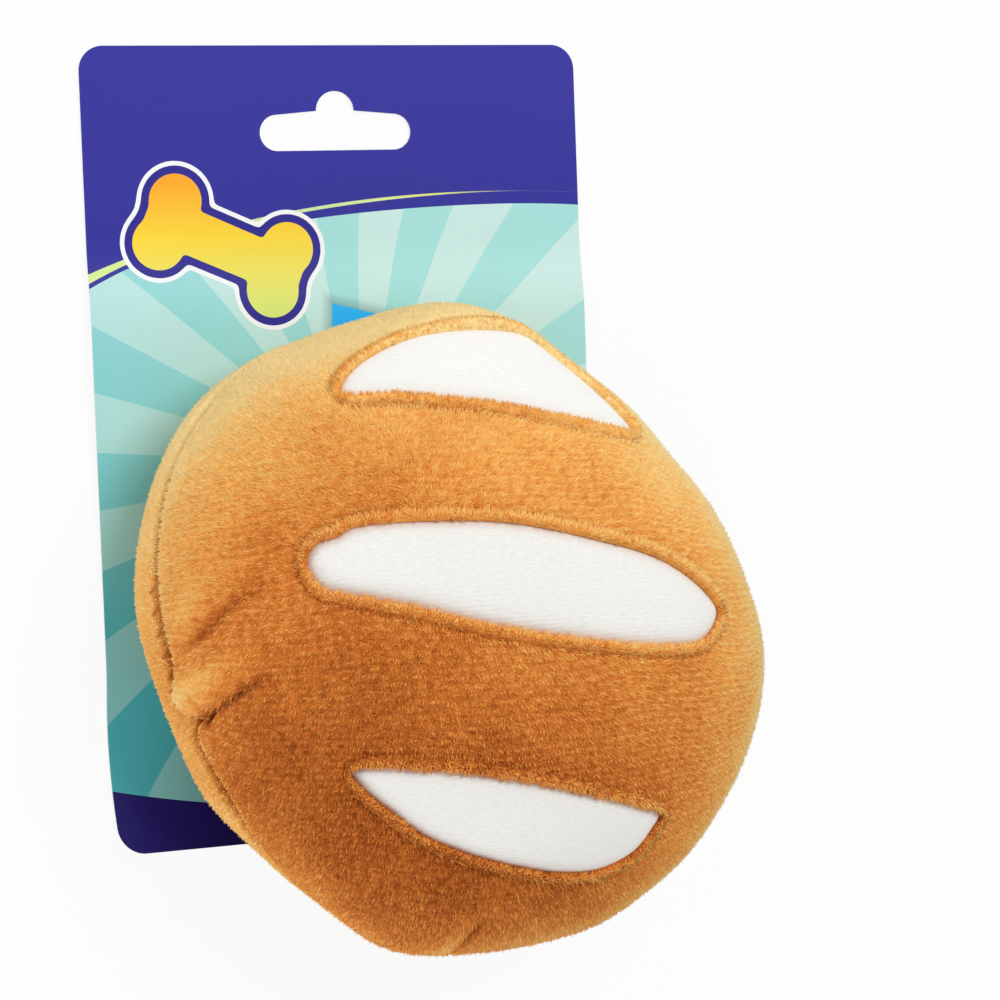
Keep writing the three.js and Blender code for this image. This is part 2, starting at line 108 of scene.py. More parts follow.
# Windows: corners of the white areas on the flat front pattern
WINDOWS = {
    "upper": [
        (-30.6, 53.0), (-19.2, 51.0), (-7.2, 48.8), (5.3, 47.0), (18.3, 44.6), (33.6, 43.0), (42.8, 44.4),
        (40.2, 49.4), (37.2, 54.9), (34.0, 61.5), (29.8, 68.6), (21.6, 74.0), (9.7, 74.4), (-1.6, 74.2),
        (-12.7, 71.6), (-21.8, 66.8), (-28.5, 60.0),
    ],
    "middle": [
        (-40.8, 15.2), (-38.3, 10.0), (-30.8, 7.5), (-18.3, 4.3), (-3.5, -0.2), (15.3, -4.1), (33.0, -6.6),
        (45.9, -6.6), (53.0, -1.4), (50.0, 3.6), (36.9, 11.1), (18.0, 16.1), (1.7, 19.4), (-14.0, 20.8),
        (-28.7, 21.3), (-33.7, 19.7), (-38.3, 18.8),
    ],
    "lower": [
        (-35.2, -28.9), (-31.7, -33.3), (-26.5, -38.0), (-20.0, -43.6), (-10.1, -48.5), (-0.1, -52.3),
        (12.0, -56.5), (22.2, -58.1), (31.3, -55.2), (35.7, -49.0), (37.0, -45.2), (27.8, -40.7),
        (18.1, -37.0), (4.2, -32.4), (-8.7, -29.3), (-20.9, -27.8), (-31.2, -27.4),
    ],
}
WINDOW_STEPS = 300
CURVE_DENSITY = 40
STEP_EASING = 12

# Hem section beside a window: distance out from the window's edge, and height over the fabric
HEM_PROFILE = [
    (1.2, -1.05), (0.65, -1.1), (0.25, -0.95), (0.05, -0.6), (0.0, -0.15), (0.1, 0.35), (0.3, 0.75),
    (0.65, 1.0), (1.1, 1.05), (1.5, 0.92), (1.85, 0.65), (2.1, 0.3), (2.3, 0.0), (2.55, -0.15), (2.85, -0.1),
    (3.2, 0.03), (3.6, 0.12),
]
HEM_FACE_FROM = 4
HEM_LINING_FROM = 9
LINING_DEPTH = -1.6

# Seam section: distance in from the seam, and height over the fabric
SEAM_PROFILE = [
    (0.6, -3.4), (0.4, -2.4), (0.4, -1.5), (0.6, -0.8), (0.95, -0.25), (1.4, 0.1), (2.0, 0.25), (3.0, 0.15),
]
SEAM_LINING_FROM = 4
SEAM_STEPS = 560
FIELD_HEIGHT = 0.15

# White insets: how far they go under the hem, and their height by the distance from their edge
INSET_TUCK = 1.3
INSET_HEIGHT = ((0, 1.3, 2.0, 3.0, 5, 9, 20), (-1.5, -0.8, -0.2, 0.15, 0.4, 0.5, 0.55))
INSET_THICKNESS = 1.0

# Stitches: length, gap and radius of the thread, and where the line lies
WINDOW_STITCH = (2.2, 0.5, 0.22)
WINDOW_STITCH_OUT = 2.6
WINDOW_STITCH_HEIGHT = -0.5
SEAM_STITCH = (2.6, 0.5, 0.25)
SEAM_STITCH_HEIGHT = -1.0
STITCH_POINTS = 9
STITCH_DIP = 0.8
STITCH_DIP_POWER = 5
TUBE_SIDES = 8
TUBE_END = 0.55
TUBE_START = (0.3, 0.5, 0.8)

# Closing stitches, where the filling went in, and the path of each: side, distance from the seam, and height
CLOSING_RANGE = (169, 191)
CLOSING_STITCHES = 6
CLOSING_PATH = [
    (1, 1.7, -0.9), (1, 1.7, 0.45), (1, 0.6, 0.45), (-1, 0.6, 0.45), (-1, 1.7, 0.45), (-1, 1.7, -0.9),
]
CLOSING_POINTS = 14
CLOSING_THREAD = 0.5

# Creases on the front pattern: from the seam inwards, with the raised side on the left of that way
# Each crease's shade scales its painted shade and painted highlight
CREASES = [
    {
        "start": (-75.0, -16.6), "end": (-49.5, -5.8), "fade": (-0.6, 0.5),
        "depth": 5.6, "width": 2.0, "shoulder": 2.6, "reach": 6.0, "fold": 3.4, "shade": 1.0,
    },
    {
        "start": (-79.0, -1.0), "end": (-50.0, 13.0), "fade": (-0.05, 0.4),
        "depth": 4.4, "width": 2.4, "shoulder": 1.2, "reach": 6.5, "fold": 1.2, "shade": 0.6,
    },
    {
        "start": (-8.5, -83.0), "end": (-4.4, -66.0), "fade": (-0.6, 0.5),
        "depth": 2.6, "width": 1.8, "shoulder": 0.9, "reach": 4.0, "fold": 0.9, "shade": 0.6,
    },
]
CREASE_NEAR = 9.0
CREASE_FAINT = 0.02
CREASE_STEP = 0.6
CREASE_TAPER = (1.1, 0.8)
FOLD_PLACE = 1.4
FOLD_WIDTH = 2.0
# Widths of the raised side, and of its painted highlight and of the painted shade in the crease, as shares of
# the crease's reach and width
SHOULDER_WIDTH = 0.75
CREASE_HIGHLIGHT_WIDTH = 0.6
CREASE_SHADE_WIDTH = 0.8
# Strengths of the painted shade down in the creases and of the painted highlight on their raised sides
CREASE_PAINTED_SHADE = 1.8
CREASE_PAINTED_HIGHLIGHT = 1.6

# The pucker where the deepest crease meets the seam: both panels' edges are drawn in there
PUCKER_ANGLE = math.radians(193.2)
PUCKER_PULL = 2.8
PUCKER_DENT = 1.8
PUCKER_WIDTH = 2.6
PUCKER_REACH = 7.0
PIT_PLACE = (-72.6, -17.2)
PIT_WIDTH = 2.3
PIT_DEPTH = 3.4
# Painted shade darkening the pucker's pit
PIT_PAINTED_SHADE = 2.4

# Where the filling pushes the rim out or leaves it slack: angle and reach in degrees, height, and the share
# of the way from the middle to the rim at which it begins
BULGES = [
    (84, 11, 2.6, 0.9), (114, 11, -1.9, 0.8), (150, 16, 0.8, 0.6), (175, 16, 0.8, 0.6), (205, 14, 0.9, 0.6),
    (251, 10, 1.8, 0.7), (300, 30, -0.5, 0.6), (353, 12, 0.7, 0.6), (32, 14, -1.0, 0.6),
    (74, 7, 1.0, 0.92), (102, 6, -0.7, 0.9), (165, 14, 0.4, 0.7), (211, 12, 0.5, 0.7), (260, 13, 0.6, 0.7),
    (343, 14, 0.5, 0.7),
]
BULGE_FULL = 0.6
LUMP_HEIGHT = 0.3
LUMP_LENGTHS = (9.1, 13.0, 10.7)
LUMP_PHASES = (1.3, 0.6)

# Squeaker
SQUEAKER_Z = 4.0
SQUEAKER_ROOM = 0.4
BLADDER_FLAT = 12.0
BLADDER_EDGE = 10.0
BLADDER_WALL = 1.0
BLADDER_ROUND = 72
BLADDER_ARC = 33
PARTING_RIDGE = 0.3
RIDGE_WIDTH = 0.06
NECK_RADIUS = 6.5
NECK_END = -12.0
NECK_LIP = 2.0
SLEEVE_BASE = -13.5
# Points of the neck's flare, out from the neck and down from the bulb, and of the top, by radius and rise
NECK_FLARE = ((0.0, 1.2), (0.35, 0.35), (1.2, 0.0))
BLADDER_TOP = ((7.2, 0.05), (3.6, 0.1), (0.05, 0.1))

# Filling
WAD_INSET = 3.4
WAD_GAP = 0.3
WAD_ROUND = 112
WAD_RINGS = 30
WAD_POLE = 0.02
WAD_MIDDLE = 10.0
WAD_CREASE = 3.0
WAD_TUFT = 0.35
WAD_TUFT_LENGTHS = (2.1, 3.3, 2.4, 2.9)
WAD_TUFT_BENDS = (1.7, 1.5)
WAD_LUMP = 0.25
WAD_LUMP_LENGTHS = (5.3, 4.1, 6.1, 3.7)
HOLLOW_MARGIN = 0.4
HOLLOW_SHARE = 0.14
HOLLOW_NONE = 100.0

# Swelling of the stuffed cloth between its seams
SWELL_STEP = 4.0
SWELL_START = -1.0
SWELL_MOST = 2.2
SWELL_FRAMES = 20
SWELL_HELD = 2.4
SWELL_RIM = 112
SWELL_WINDOW = 120
SWELL_NEAREST = 7
SWELL_SOFTNESS = 4.0
SWELLING = {}
CLOTH = {
    "quality": 6, "mass": 0.3, "tension_stiffness": 15, "compression_stiffness": 15, "shear_stiffness": 5,
    "bending_stiffness": 0.5, "use_pressure": True, "uniform_pressure_force": 4.0,
    "vertex_group_mass": "held",
}

# Density of the meshes, and pattern millimetres to texture units
FILL_STEP = 1.4
FILL_MARGIN = 0.65
FILL_EPSILON = 1e-7
INSET_STEP = 0.85
SLOPE_STEP = 0.1
PATTERN_UNIT = 0.01

# Pile: fine tapered strands that stand in the cloth and lean with its nap
PILE_SEED = 7
PILE_STEP = {1: 0.5, -1: 0.6}
PILE_LENGTH = (0.85, 1.35)
PILE_WIDTH = (0.16, 0.24)
PILE_LEAN = (0.65, 1.05)
PILE_SHARE = {1: 1.0, -1: 0.75}
PILE_SPLIT = 2.0
PILE_SOFTNESS = 0.65
PILE_ROOT = -0.2
PILE_SCATTER = 0.22
PILE_NUDGE = 1e-6
PILE_FROM_WINDOW = 2.3
PILE_FROM_SEAM = 0.8
PILE_CLEAR = 3.3
# By the distance from the seam: share of the strands' length, and height of their roots
PILE_SEAM_SHARE = ((0.8, 5.0), (0.5, 1.0))
PILE_HEIGHT = ((0.8, 1.4, 2.1, 3.0, 4.5), (-0.9, -0.25, 0.1, 0.25, 0.15))
# Each strand's corners: three at its root and its tip, with their height and their spot in a cell of the bake
SPIKE_HEIGHTS = [0.0, 0.0, 0.0, 1.0]
SPIKE_SPOTS = [(0.1, 0.1), (0.9, 0.1), (0.5, 0.3), (0.5, 0.9)]
NAP_DROP = (0.25, -0.6)
NAP_SPREAD = 40.0
# Waves in the nap: strength, lengths and bends
NAP_SWIRLS = [(0.4, (17, 23, 19, 29), (1.3, 1.1)), (0.25, (1.3, 1.9, 1.5, 2.3), (2.0, 2.0))]

# The cloth's knitted rows and how uneven they are, with each wave's height and lengths
KNIT_ROW = 1.6
KNIT_STITCH = 0.95
KNIT_ANGLE = math.radians(-1)
KNIT_BOW = (0.5, 9.0, 1.3)
KNIT_RIPPLE = (0.3, 4.1, 7.0)
KNIT_SLIP = (0.4, 6.3)
KNIT_ROW_SHARE = 0.75
KNIT_PALER = 0.58
KNIT_SHORTER = 0.15
KNIT_STRENGTH = ((-60.0, 20.0, 60.0), (1.0, 1.0, 0.5))

# Painted light on the cloth: a painted highlight on the seam's ridge, painted shade in the seam's groove that
# fades by the height on the pattern, and painted sheen behind by the height on the pattern
SEAM_PAINTED_HIGHLIGHT = 1.9
SEAM_PAINTED_SHADE = ((0.0, 45.0), (1.3, 0.1))
SEAM_SHADE_REACH = 1.3
BACK_PAINTED_SHEEN = ((-70.0, -15.0), (1.4, 0.0))

# Pile of the hems: painted highlight on the roll and painted shade at its outer groove by the distance from
# the window's edge, swapped on the upper hems whose inner side faces down, and painted shade by the height on
# the pattern, darkest on the top hem
HEM_PILE_RANGE = (0.1, 2.6)
HEM_PILE_DENSITY = 9.0
HEM_PILE_LENGTH = (0.8, 1.25)
HEM_PILE_LEAN = (-1.05, -0.3)
HEM_TURNED_FROM = 2.0
HEM_PAINTED_LIGHT = ((0.1, 0.9, 1.8, 2.6), (0.3, 0.8, 0.5, -0.4))
HEM_LIGHT_SWAP = ((20.0, 55.0), (1.0, -0.9))
HEM_PAINTED_SHADE = ((-60.0, -25.0, 0.0, 20.0, 72.0), (-0.25, -0.15, 0.0, 0.0, 0.9))

# How pale the brown is, and how much more by the height and the side (painted light from the top and side),
# the rim (painted sheen), soft patches and tufts
TONE_CLOTH = 0.32
TONE_PILE = 0.37
TONE_PAINTED_TOP_LIGHT = 0.49
TONE_PAINTED_SIDE_LIGHT = 0.24
TONE_PAINTED_SHEEN = 0.84
TONE_EDGE_POWER = 4.2
TONE_EDGE_REACH = 0.88
TONE_PATCH = 0.32
TONE_TUFT = 0.40
TONE_STREAK = 0.5
TONE_FINE = 0.35
STRAND_SPREAD = 0.24
STRAND_TIP = 0.14
FINE_BUMP = 0.4
NAP_DRIFT = 0.09
WHITE_RIB = 0.9
RIB_BUMP = 0.14
FLOW_DARKER = 0.86
FLOW_GLOSS = 0.16
CARD_GLOSS = 0.40
GRAIN_GLOSS = 0.12
THREAD_PLY = 0.5
THREAD_SLANT = 1.4
BROWN_SHEEN = {"Specular_IOR_Level": 0.05, "Sheen_Roughness": 0.4, "Sheen_Tint": (1.0, 0.75, 0.4, 1)}

# Print on the card: sunburst, header, foot, a plain blue panel and a bone badge
RAY_CENTRE = (0.67, -67.39)
RAY_STRETCH = 1.1
RAY_COUNT = 16.0
RAY_TURN = 15.7
# How fast both rays deepen towards the lower left and from what depth: the print's own gradient with painted
# shade where the toy's shadow falls
RAY_DEEPEN_AND_SHADE = -0.006
RAY_DEPTH = 0.08
# Points along the header's edge and along its thin line, which curves are fitted through
PRINT_X = [-52.73, -45.84, -6.62, -1.75, 4.13, 13.48, 25.3, 37.2, 49.25]
HEADER_EDGE = [-30.54, -27.12, -17.6, -17.04, -16.49, -15.73, -15.33, -15.26, -15.5]
LINE_LOW = [-29.55, -26.13, -16.11, -15.26, -14.6, -13.46, -12.88, -12.75, -12.91]
LINE_HIGH = [-27.59, -24.98, -15.26, -14.53, -14.07, -13.07, -12.57, -12.57, -12.89]
LINE_DEGREE = 4
LINE_FADE = 0.0095
FOOT_EDGE = (0.00227, 0.0, -136.6)
BLUE_CORNER = (-2.6, -34.77)
BLUE_ALONG = (1.0122, -0.0782)
BLUE_DOWN = (-0.2508, -0.9838)
BLUE_SIZE = (26.0, 18.0)
BLUE_SHADOW = 0.5
BLUE_SOFT = 2.4
BADGE_PLACE = (-24.5, -22.5)
BADGE_TURN = math.radians(-24)
BADGE_WHITE = 2.5
BADGE_DARK = 1.6
BADGE_FADE = 0.03
BONE_HALF = 12.5
BONE_SHAFT = 4.6
BONE_SPREAD = 4.6
BONE_KNOB = 5.4
BONE_BLEND = 1.5

# Camera, floor and light, with places in metres
CAMERA_RIGHT = Vector((0.938, -0.036, 0.345))
CAMERA_UP = Vector((0.054, 0.998, -0.041))
CAMERA_BACK = Vector((-0.343, 0.057, 0.938))
CAMERA_PLACE = Vector((-0.1819, -0.0411, 0.5876))
CAMERA_LENS = 108
CAMERA_SENSOR = 36
CAMERA_CLIP = (0.01, 20)
FLOOR_REACH = 4.0
FLOOR_LEVEL = -0.0004
FLOOR_COLOUR = (0.85, 0.85, 0.85, 1)
FLOOR_GLOW = 0.9
WORLD_STRENGTH = 0.48
LIGHT_AIM = Vector((0.013, -0.1, 0.03))
# Place, size and power
LIGHTS = {
    "key": ((0.30, 0.34, 0.84), 0.6, 4.5),
    "side": ((-0.75, -0.42, 0.12), 0.25, 2.0),
    "top": ((-0.18, 0.60, 0.20), 0.25, 1.1),
    "low": ((-0.10, -0.75, 0.50), 0.5, 1.0),
}


# Numbers

def pairs(first, second):
    return np.stack([first, second], axis=1)


def unit(vectors):
    return vectors / np.maximum(np.linalg.norm(vectors, axis=1, keepdims=True), TINY)


def smoothstep(value, width):
    t = np.clip(value / width, 0, 1)
    return t * t * (3 - 2 * t)


def hump(distance, width):
    """1 at no distance, and fading smoothly over the width."""
    return np.exp(-((distance / width) ** 2))


def polar(flat):
    return np.arctan2(flat[:, 1], flat[:, 0]), np.hypot(flat[:, 0], flat[:, 1])


def from_polar(angle, reach):
    return pairs(reach * np.cos(angle), reach * np.sin(angle))


def distances(path):
    """How far each point of a path lies along it."""
    return np.concatenate([[0], np.cumsum(np.linalg.norm(np.diff(path, axis=0), axis=1))])


def along_path(path, run, wanted):
    """Points of a path at the wanted distances, where run gives each of its own points' distance."""
    return np.stack([np.interp(wanted, run, column) for column in path.T], axis=1)


def tree_of(places):
    tree = kdtree.KDTree(len(places))
    for i, (x, y) in enumerate(places):
        tree.insert((x, y, 0), i)
    tree.balance()
    return tree


# Form of the roll

def rim_radius(angle):
    oval = OVAL[0] * np.cos(2 * (angle - OVAL[1]))
    lobe = LOBE[0] * np.cos(3 * (angle - LOBE[1]))
    return BODY_RADIUS * (1 + oval + lobe)


def crown_height(share):
    return np.clip(1 - np.clip(share, 0, 1) ** CROWN_POWER, 0, 1) ** CROWN_SHOULDER


def pressed_flat(y):
    return (REST_HEIGHT - TOY_CENTRE[2] + y * math.sin(TOY_TILT)) / math.cos(TOY_TILT)


def body_point(angle, bend, inset=0.0):
    """Points of the roll: bend is 0 at the middle of the front, a quarter turn at the rim, a half behind."""
    share = np.sin(bend)
    radius = share * (rim_radius(angle) - inset)
    crown = np.where(bend <= math.pi / 2, FRONT_CROWN - inset, inset - BACK_CROWN)
    y = radius * np.sin(angle)
    z = np.maximum(crown * crown_height(share), pressed_flat(y) + inset)
    return np.stack([radius * np.cos(angle), y, z], axis=1)


def pattern_point(flat, side):
    """Points of the roll from places on a flat round pattern, of the front (side 1) or the back (side -1)."""
    angle, reach = polar(flat)
    bend = reach / rim_radius(angle)
    return body_point(angle, bend if side > 0 else math.pi - bend)


def pattern_slopes(flat, side):
    slopes = []
    for step in ((SLOPE_STEP, 0), (0, SLOPE_STEP)):
        moved = pattern_point(flat + step, side) - pattern_point(flat - np.array(step), side)
        slopes.append(moved / (2 * SLOPE_STEP))
    return slopes


def pattern_normal(flat, side):
    return unit(side * np.cross(*pattern_slopes(flat, side)))


def tilted(vectors):
    """Directions in the toy's own frame, as they lie in the CAD frame."""
    x, y, z = vectors.T
    c, s = math.cos(TOY_TILT), math.sin(TOY_TILT)
    return np.stack([x, y * c + z * s, z * c - y * s], axis=1)


def to_frame(points):
    """Toy millimetres to metres in the CAD frame."""
    return (tilted(points) + TOY_CENTRE) * MM


def seam_height(x, y):
    lean = x * math.cos(SEAM_LEAN_DIRECTION) + y * math.sin(SEAM_LEAN_DIRECTION)
    angle = np.degrees(np.arctan2(y, x)) % 360
    reach = smoothstep(np.hypot(x, y), BODY_RADIUS)
    begin, end = (smoothstep(angle - a, b - a) for a, b in (SEAM_DROP_BEGIN, SEAM_DROP_END))
    return SEAM_RISE + math.tan(SEAM_LEAN) * lean - SEAM_DROP * reach * (begin - end)


def seam_reach(angle, side):
    """Distance of the seam from the middle of a pattern, where the seam's surface meets the roll."""
    angle = np.atleast_1d(angle)
    low, high = (np.full(len(angle), bend) for bend in SEAM_BENDS)
    for _ in range(SEAM_HALVINGS):
        middle = (low + high) / 2
        point = body_point(angle, middle)
        above = point[:, 2] > seam_height(point[:, 0], point[:, 1])
        low, high = np.where(above, middle, low), np.where(above, high, middle)
    bend = low if side > 0 else math.pi - low
    return bend * rim_radius(angle)


def seam_loop(side):
    angle = np.linspace(0, TURN, SEAM_STEPS, endpoint=False)
    return from_polar(angle, seam_reach(angle, side))


# Creases, bulges and the skin over the form

def crease_place(flat, crease):
    """Places beside a crease: how strong it is there, the distance across it, and the way across it."""
    start, end = np.array(crease["start"]), np.array(crease["end"])
    line = end - start
    length = np.linalg.norm(line)
    along = (flat - start) @ line / length**2
    way = np.array([-line[1], line[0]]) / length
    most, power = CREASE_TAPER
    begin, ramp = crease["fade"]
    taper = np.clip(1 - along, 0, most) ** power * smoothstep(along - begin, ramp)
    return taper, (flat - start) @ way, way


def crease_height(flat, crease):
    """A valley along a line, deepest at its start, with the cloth pushed up on its one side."""
    taper, across, _ = crease_place(flat, crease)
    valley = -crease["depth"] * hump(across, crease["width"])
    shoulder = crease["shoulder"] * hump(across - crease["reach"], SHOULDER_WIDTH * crease["reach"])
    return taper * (valley + shoulder)


def folded(flat):
    """Places on the front pattern, drawn over the creases where the cloth folds over them."""
    moved = flat.copy()
    for crease in CREASES:
        taper, across, way = crease_place(flat, crease)
        pull = crease["fold"] * taper * hump(across - FOLD_PLACE, FOLD_WIDTH)
        moved -= pull[:, None] * way
    return moved


def pucker(flat, side):
    """How strongly the pucker draws in each place, and the way from the middle of the pattern."""
    angle, reach = polar(flat)
    away = flat / np.maximum(reach, TINY)[:, None]
    turn = (angle - PUCKER_ANGLE + math.pi) % TURN - math.pi
    depth = seam_reach(PUCKER_ANGLE, side) - reach
    return hump(turn * BODY_RADIUS, PUCKER_WIDTH) * hump(depth, PUCKER_REACH), away


def laid(flat, side):
    """Places on a pattern, moved as the creases and the pucker draw the cloth."""
    near, away = pucker(flat, side)
    moved = folded(flat) if side > 0 else flat
    return moved - away * (side * PUCKER_PULL * near)[:, None]


def pit(flat):
    """The hole of the pucker, as a share of its depth."""
    return hump(np.linalg.norm(flat - PIT_PLACE, axis=1), PIT_WIDTH)


def crease_painted_light(flat):
    """Painted light beside the creases: a painted highlight on their raised sides, painted shade down in them
    and in the pucker's pit.
    """
    shade = np.zeros(len(flat))
    for crease in CREASES:
        taper, across, _ = crease_place(flat, crease)
        raised = hump(across - crease["reach"], CREASE_HIGHLIGHT_WIDTH * crease["reach"])
        sunk = hump(across, CREASE_SHADE_WIDTH * crease["width"])
        shade += taper * crease["shade"] * (CREASE_PAINTED_HIGHLIGHT * raised - CREASE_PAINTED_SHADE * sunk)
    return shade - PIT_PAINTED_SHADE * pit(flat)


def cloth_painted_light(flat, side):
    """Painted light on a panel at a place: by its creases in front, and painted sheen low on the back."""
    if side > 0:
        return crease_painted_light(flat)
    return np.interp(flat[:, 1], *BACK_PAINTED_SHEEN)


def near_crease(flat):
    near = np.zeros(len(flat), bool)
    for crease in CREASES:
        taper, across, _ = crease_place(flat, crease)
        near |= (taper > CREASE_FAINT) & (np.abs(across) < CREASE_NEAR)
    return near


def rim_bulge(flat):
    angle, reach = polar(flat)
    share = np.sin(reach / rim_radius(angle))
    height = np.zeros(len(flat))
    for middle, width, most, begin in BULGES:
        apart = (np.degrees(angle) - middle + 180) % 360 - 180
        height += most * smoothstep(share - begin, BULGE_FULL * (1 - begin)) * hump(apart, width)
    return height


def lumps(flat, side):
    """Faint lumps of the filling under the cloth, as waves some centimetres long."""
    x, y = flat.T
    a, b, c = LUMP_LENGTHS
    first, second = LUMP_PHASES
    return LUMP_HEIGHT * np.sin(x / a + first * side + np.sin(y / b)) * np.sin(y / c + second)


def relief(flat, side):
    """Swelling, uneven filling and creases, as a height over the plain form."""
    height = lumps(flat, side) + rim_bulge(flat)
    if SWELLING:
        height += SWELLING[side].at(flat)
    if side < 0:
        return height - PUCKER_DENT * pucker(flat, side)[0]
    for crease in CREASES:
        height += crease_height(flat, crease)
    return height - PIT_DEPTH * pit(flat)


def skin(flat, side, height):
    """Points of the cloth, in metres, at places on a pattern and heights over the fabric."""
    lifted = height + relief(flat, side)
    moved = laid(flat, side)
    points = to_frame(pattern_point(moved, side) + pattern_normal(moved, side) * lifted[:, None])
    points[:, 2] = np.maximum(points[:, 2], REST_HEIGHT * MM)
    return points


# Curves on the pattern

def closed_curve(corners, count):
    """A smooth closed curve through the corners, with evenly spaced points."""
    knots = np.array(corners, float)
    before, after, far = np.roll(knots, 1, 0), np.roll(knots, -1, 0), np.roll(knots, -2, 0)
    t = np.linspace(0, 1, CURVE_DENSITY, endpoint=False)[:, None, None]
    dense = 0.5 * (
        2 * knots
        + (after - before) * t
        + (2 * before - 5 * knots + 4 * after - far) * t**2
        + (3 * knots - before - 3 * after + far) * t**3
    )
    dense = dense.transpose(1, 0, 2).reshape(-1, 2)
    ring = np.vstack([dense, dense[:1]])
    run = distances(ring)
    return along_path(ring, run, np.linspace(0, run[-1], count, endpoint=False))


def outward_steps(loop, side):
    """For each point of an anticlockwise loop, the move on the pattern that goes 1 mm outward on the body."""
    along = np.roll(loop, -1, 0) - np.roll(loop, 1, 0)
    slope_x, slope_y = pattern_slopes(loop, side)
    tangent = slope_x * along[:, :1] + slope_y * along[:, 1:]
    out = unit(side * np.cross(tangent, pattern_normal(loop, side)))
    steps = []
    for sx, sy, direction in zip(slope_x, slope_y, out):
        steps.append(np.linalg.lstsq(pairs(sx, sy), direction, rcond=None)[0])
    return eased(np.array(steps), STEP_EASING)


def eased(values, reach):
    """Values round a loop, each averaged with its neighbours."""
    weights = np.hanning(2 * reach + 3)[1:-1]
    shifted = [np.roll(values, k, 0) * w for k, w in zip(range(-reach, reach + 1), weights)]
    return np.sum(shifted, axis=0) / weights.sum()


def window_loop(corners):
    """A window's edge on the front pattern, and its outward steps."""
    loop = closed_curve(corners, WINDOW_STEPS)
    return loop, outward_steps(loop, 1)


# Filling a loop with triangles

def inside(points, loop):
    found = np.zeros(len(points), bool)
    x, y = points[:, 0], points[:, 1]
    for (x0, y0), (x1, y1) in zip(loop, np.roll(loop, -1, 0)):
        if y0 == y1:
            continue
        crosses = (y0 > y) != (y1 > y)
        found ^= crosses & (x < (x1 - x0) * (y - y0) / (y1 - y0) + x0)
    return found


def between_loops(points, outer, holes):
    found = inside(points, outer)
    for hole in holes:
        found &= ~inside(points, hole)
    return found


def distance_to(points, loop):
    tree = tree_of(loop)
    return np.array([tree.find((x, y, 0))[2] for x, y in points])


def even_field(low, high, step):
    """Points in a triangular lattice over a rectangle."""
    rows = np.arange(low[1], high[1] + step, step * math.sqrt(3) / 2)
    cells = []
    for i, y in enumerate(rows):
        xs = np.arange(low[0], high[0] + step, step) + (i % 2) * step / 2
        cells.append(pairs(xs, np.full(len(xs), y)))
    return np.vstack(cells)


def fill(outer, holes, step, crowd=None, crowd_step=None):
    """Triangles between loops: the points are the outer loop's, then each hole's, then those added inside."""
    field = even_field(outer.min(0), outer.max(0), step)
    if crowd:
        close = even_field(outer.min(0), outer.max(0), crowd_step)
        field = np.vstack([field[~crowd(field)], close[crowd(close)]])
    field = field[between_loops(field, outer, holes)]
    margin = FILL_MARGIN * (crowd_step if crowd else step)
    field = field[distance_to(field, np.vstack([outer, *holes])) > margin]
    points = np.vstack([outer, *holes, field])
    edges = []
    start = 0
    for loop in (outer, *holes):
        count = len(loop)
        edges += [(start + i, start + (i + 1) % count) for i in range(count)]
        start += count
    made = delaunay_2d_cdt([Vector(p) for p in points], edges, [], 0, FILL_EPSILON)
    corners, triangles = np.array([tuple(p) for p in made[0]]), np.array(made[2])
    source = np.array([sources[0] for sources in made[3]])
    keep = between_loops(corners[triangles].mean(axis=1), outer, holes)
    return points, source[triangles[keep]]


# Meshes

def add_object(name, data):
    made = bpy.data.objects.new(name, data)
    bpy.context.scene.collection.objects.link(made)
    return made


class Shape:
    """Vertices and faces being gathered for one mesh, with a pattern place for each vertex."""

    def __init__(self):
        self.points, self.places, self.faces = [], [], []
        self.count = 0

    def add(self, points, places):
        index = np.arange(self.count, self.count + len(points))
        self.points.append(points)
        self.places.append(places)
        self.count += len(points)
        return index

    def strip(self, lower, upper, flip=False):
        """Quads between two closed rings with the same number of points."""
        if flip:
            lower, upper = upper, lower
        quads = np.stack([lower, np.roll(lower, -1), np.roll(upper, -1), upper], axis=1)
        self.faces += quads.tolist()

    def strips(self, rings, flip=False):
        for lower, upper in zip(rings, rings[1:]):
            self.strip(lower, upper, flip)

    def piece(self, name, material, layers=None):
        mesh = bpy.data.meshes.new(name)
        mesh.from_pydata(np.vstack(self.points).tolist(), [], self.faces)
        corner = np.zeros(len(mesh.loops), np.int32)
        mesh.loops.foreach_get("vertex_index", corner)
        maps = {"pattern": np.vstack(self.places) * PATTERN_UNIT, **(layers or {})}
        for title, places in maps.items():
            layer = mesh.uv_layers.new(name=title)
            layer.uv.foreach_set("vector", places[corner].astype(np.float32).ravel())
        mesh.polygons.foreach_set("use_smooth", [True] * len(mesh.polygons))
        if material:
            mesh.materials.append(material)
        mesh.update()
        return add_object(name, mesh)


def lay_rings(shape, loop, steps, profile, side):
    """Rings beside a loop by a section profile; returns each ring's vertices and the last ring's places."""
    rings = []
    for out, height in profile:
        flat = loop + steps * out
        rings.append(shape.add(skin(flat, side, height), flat))
    return rings, flat


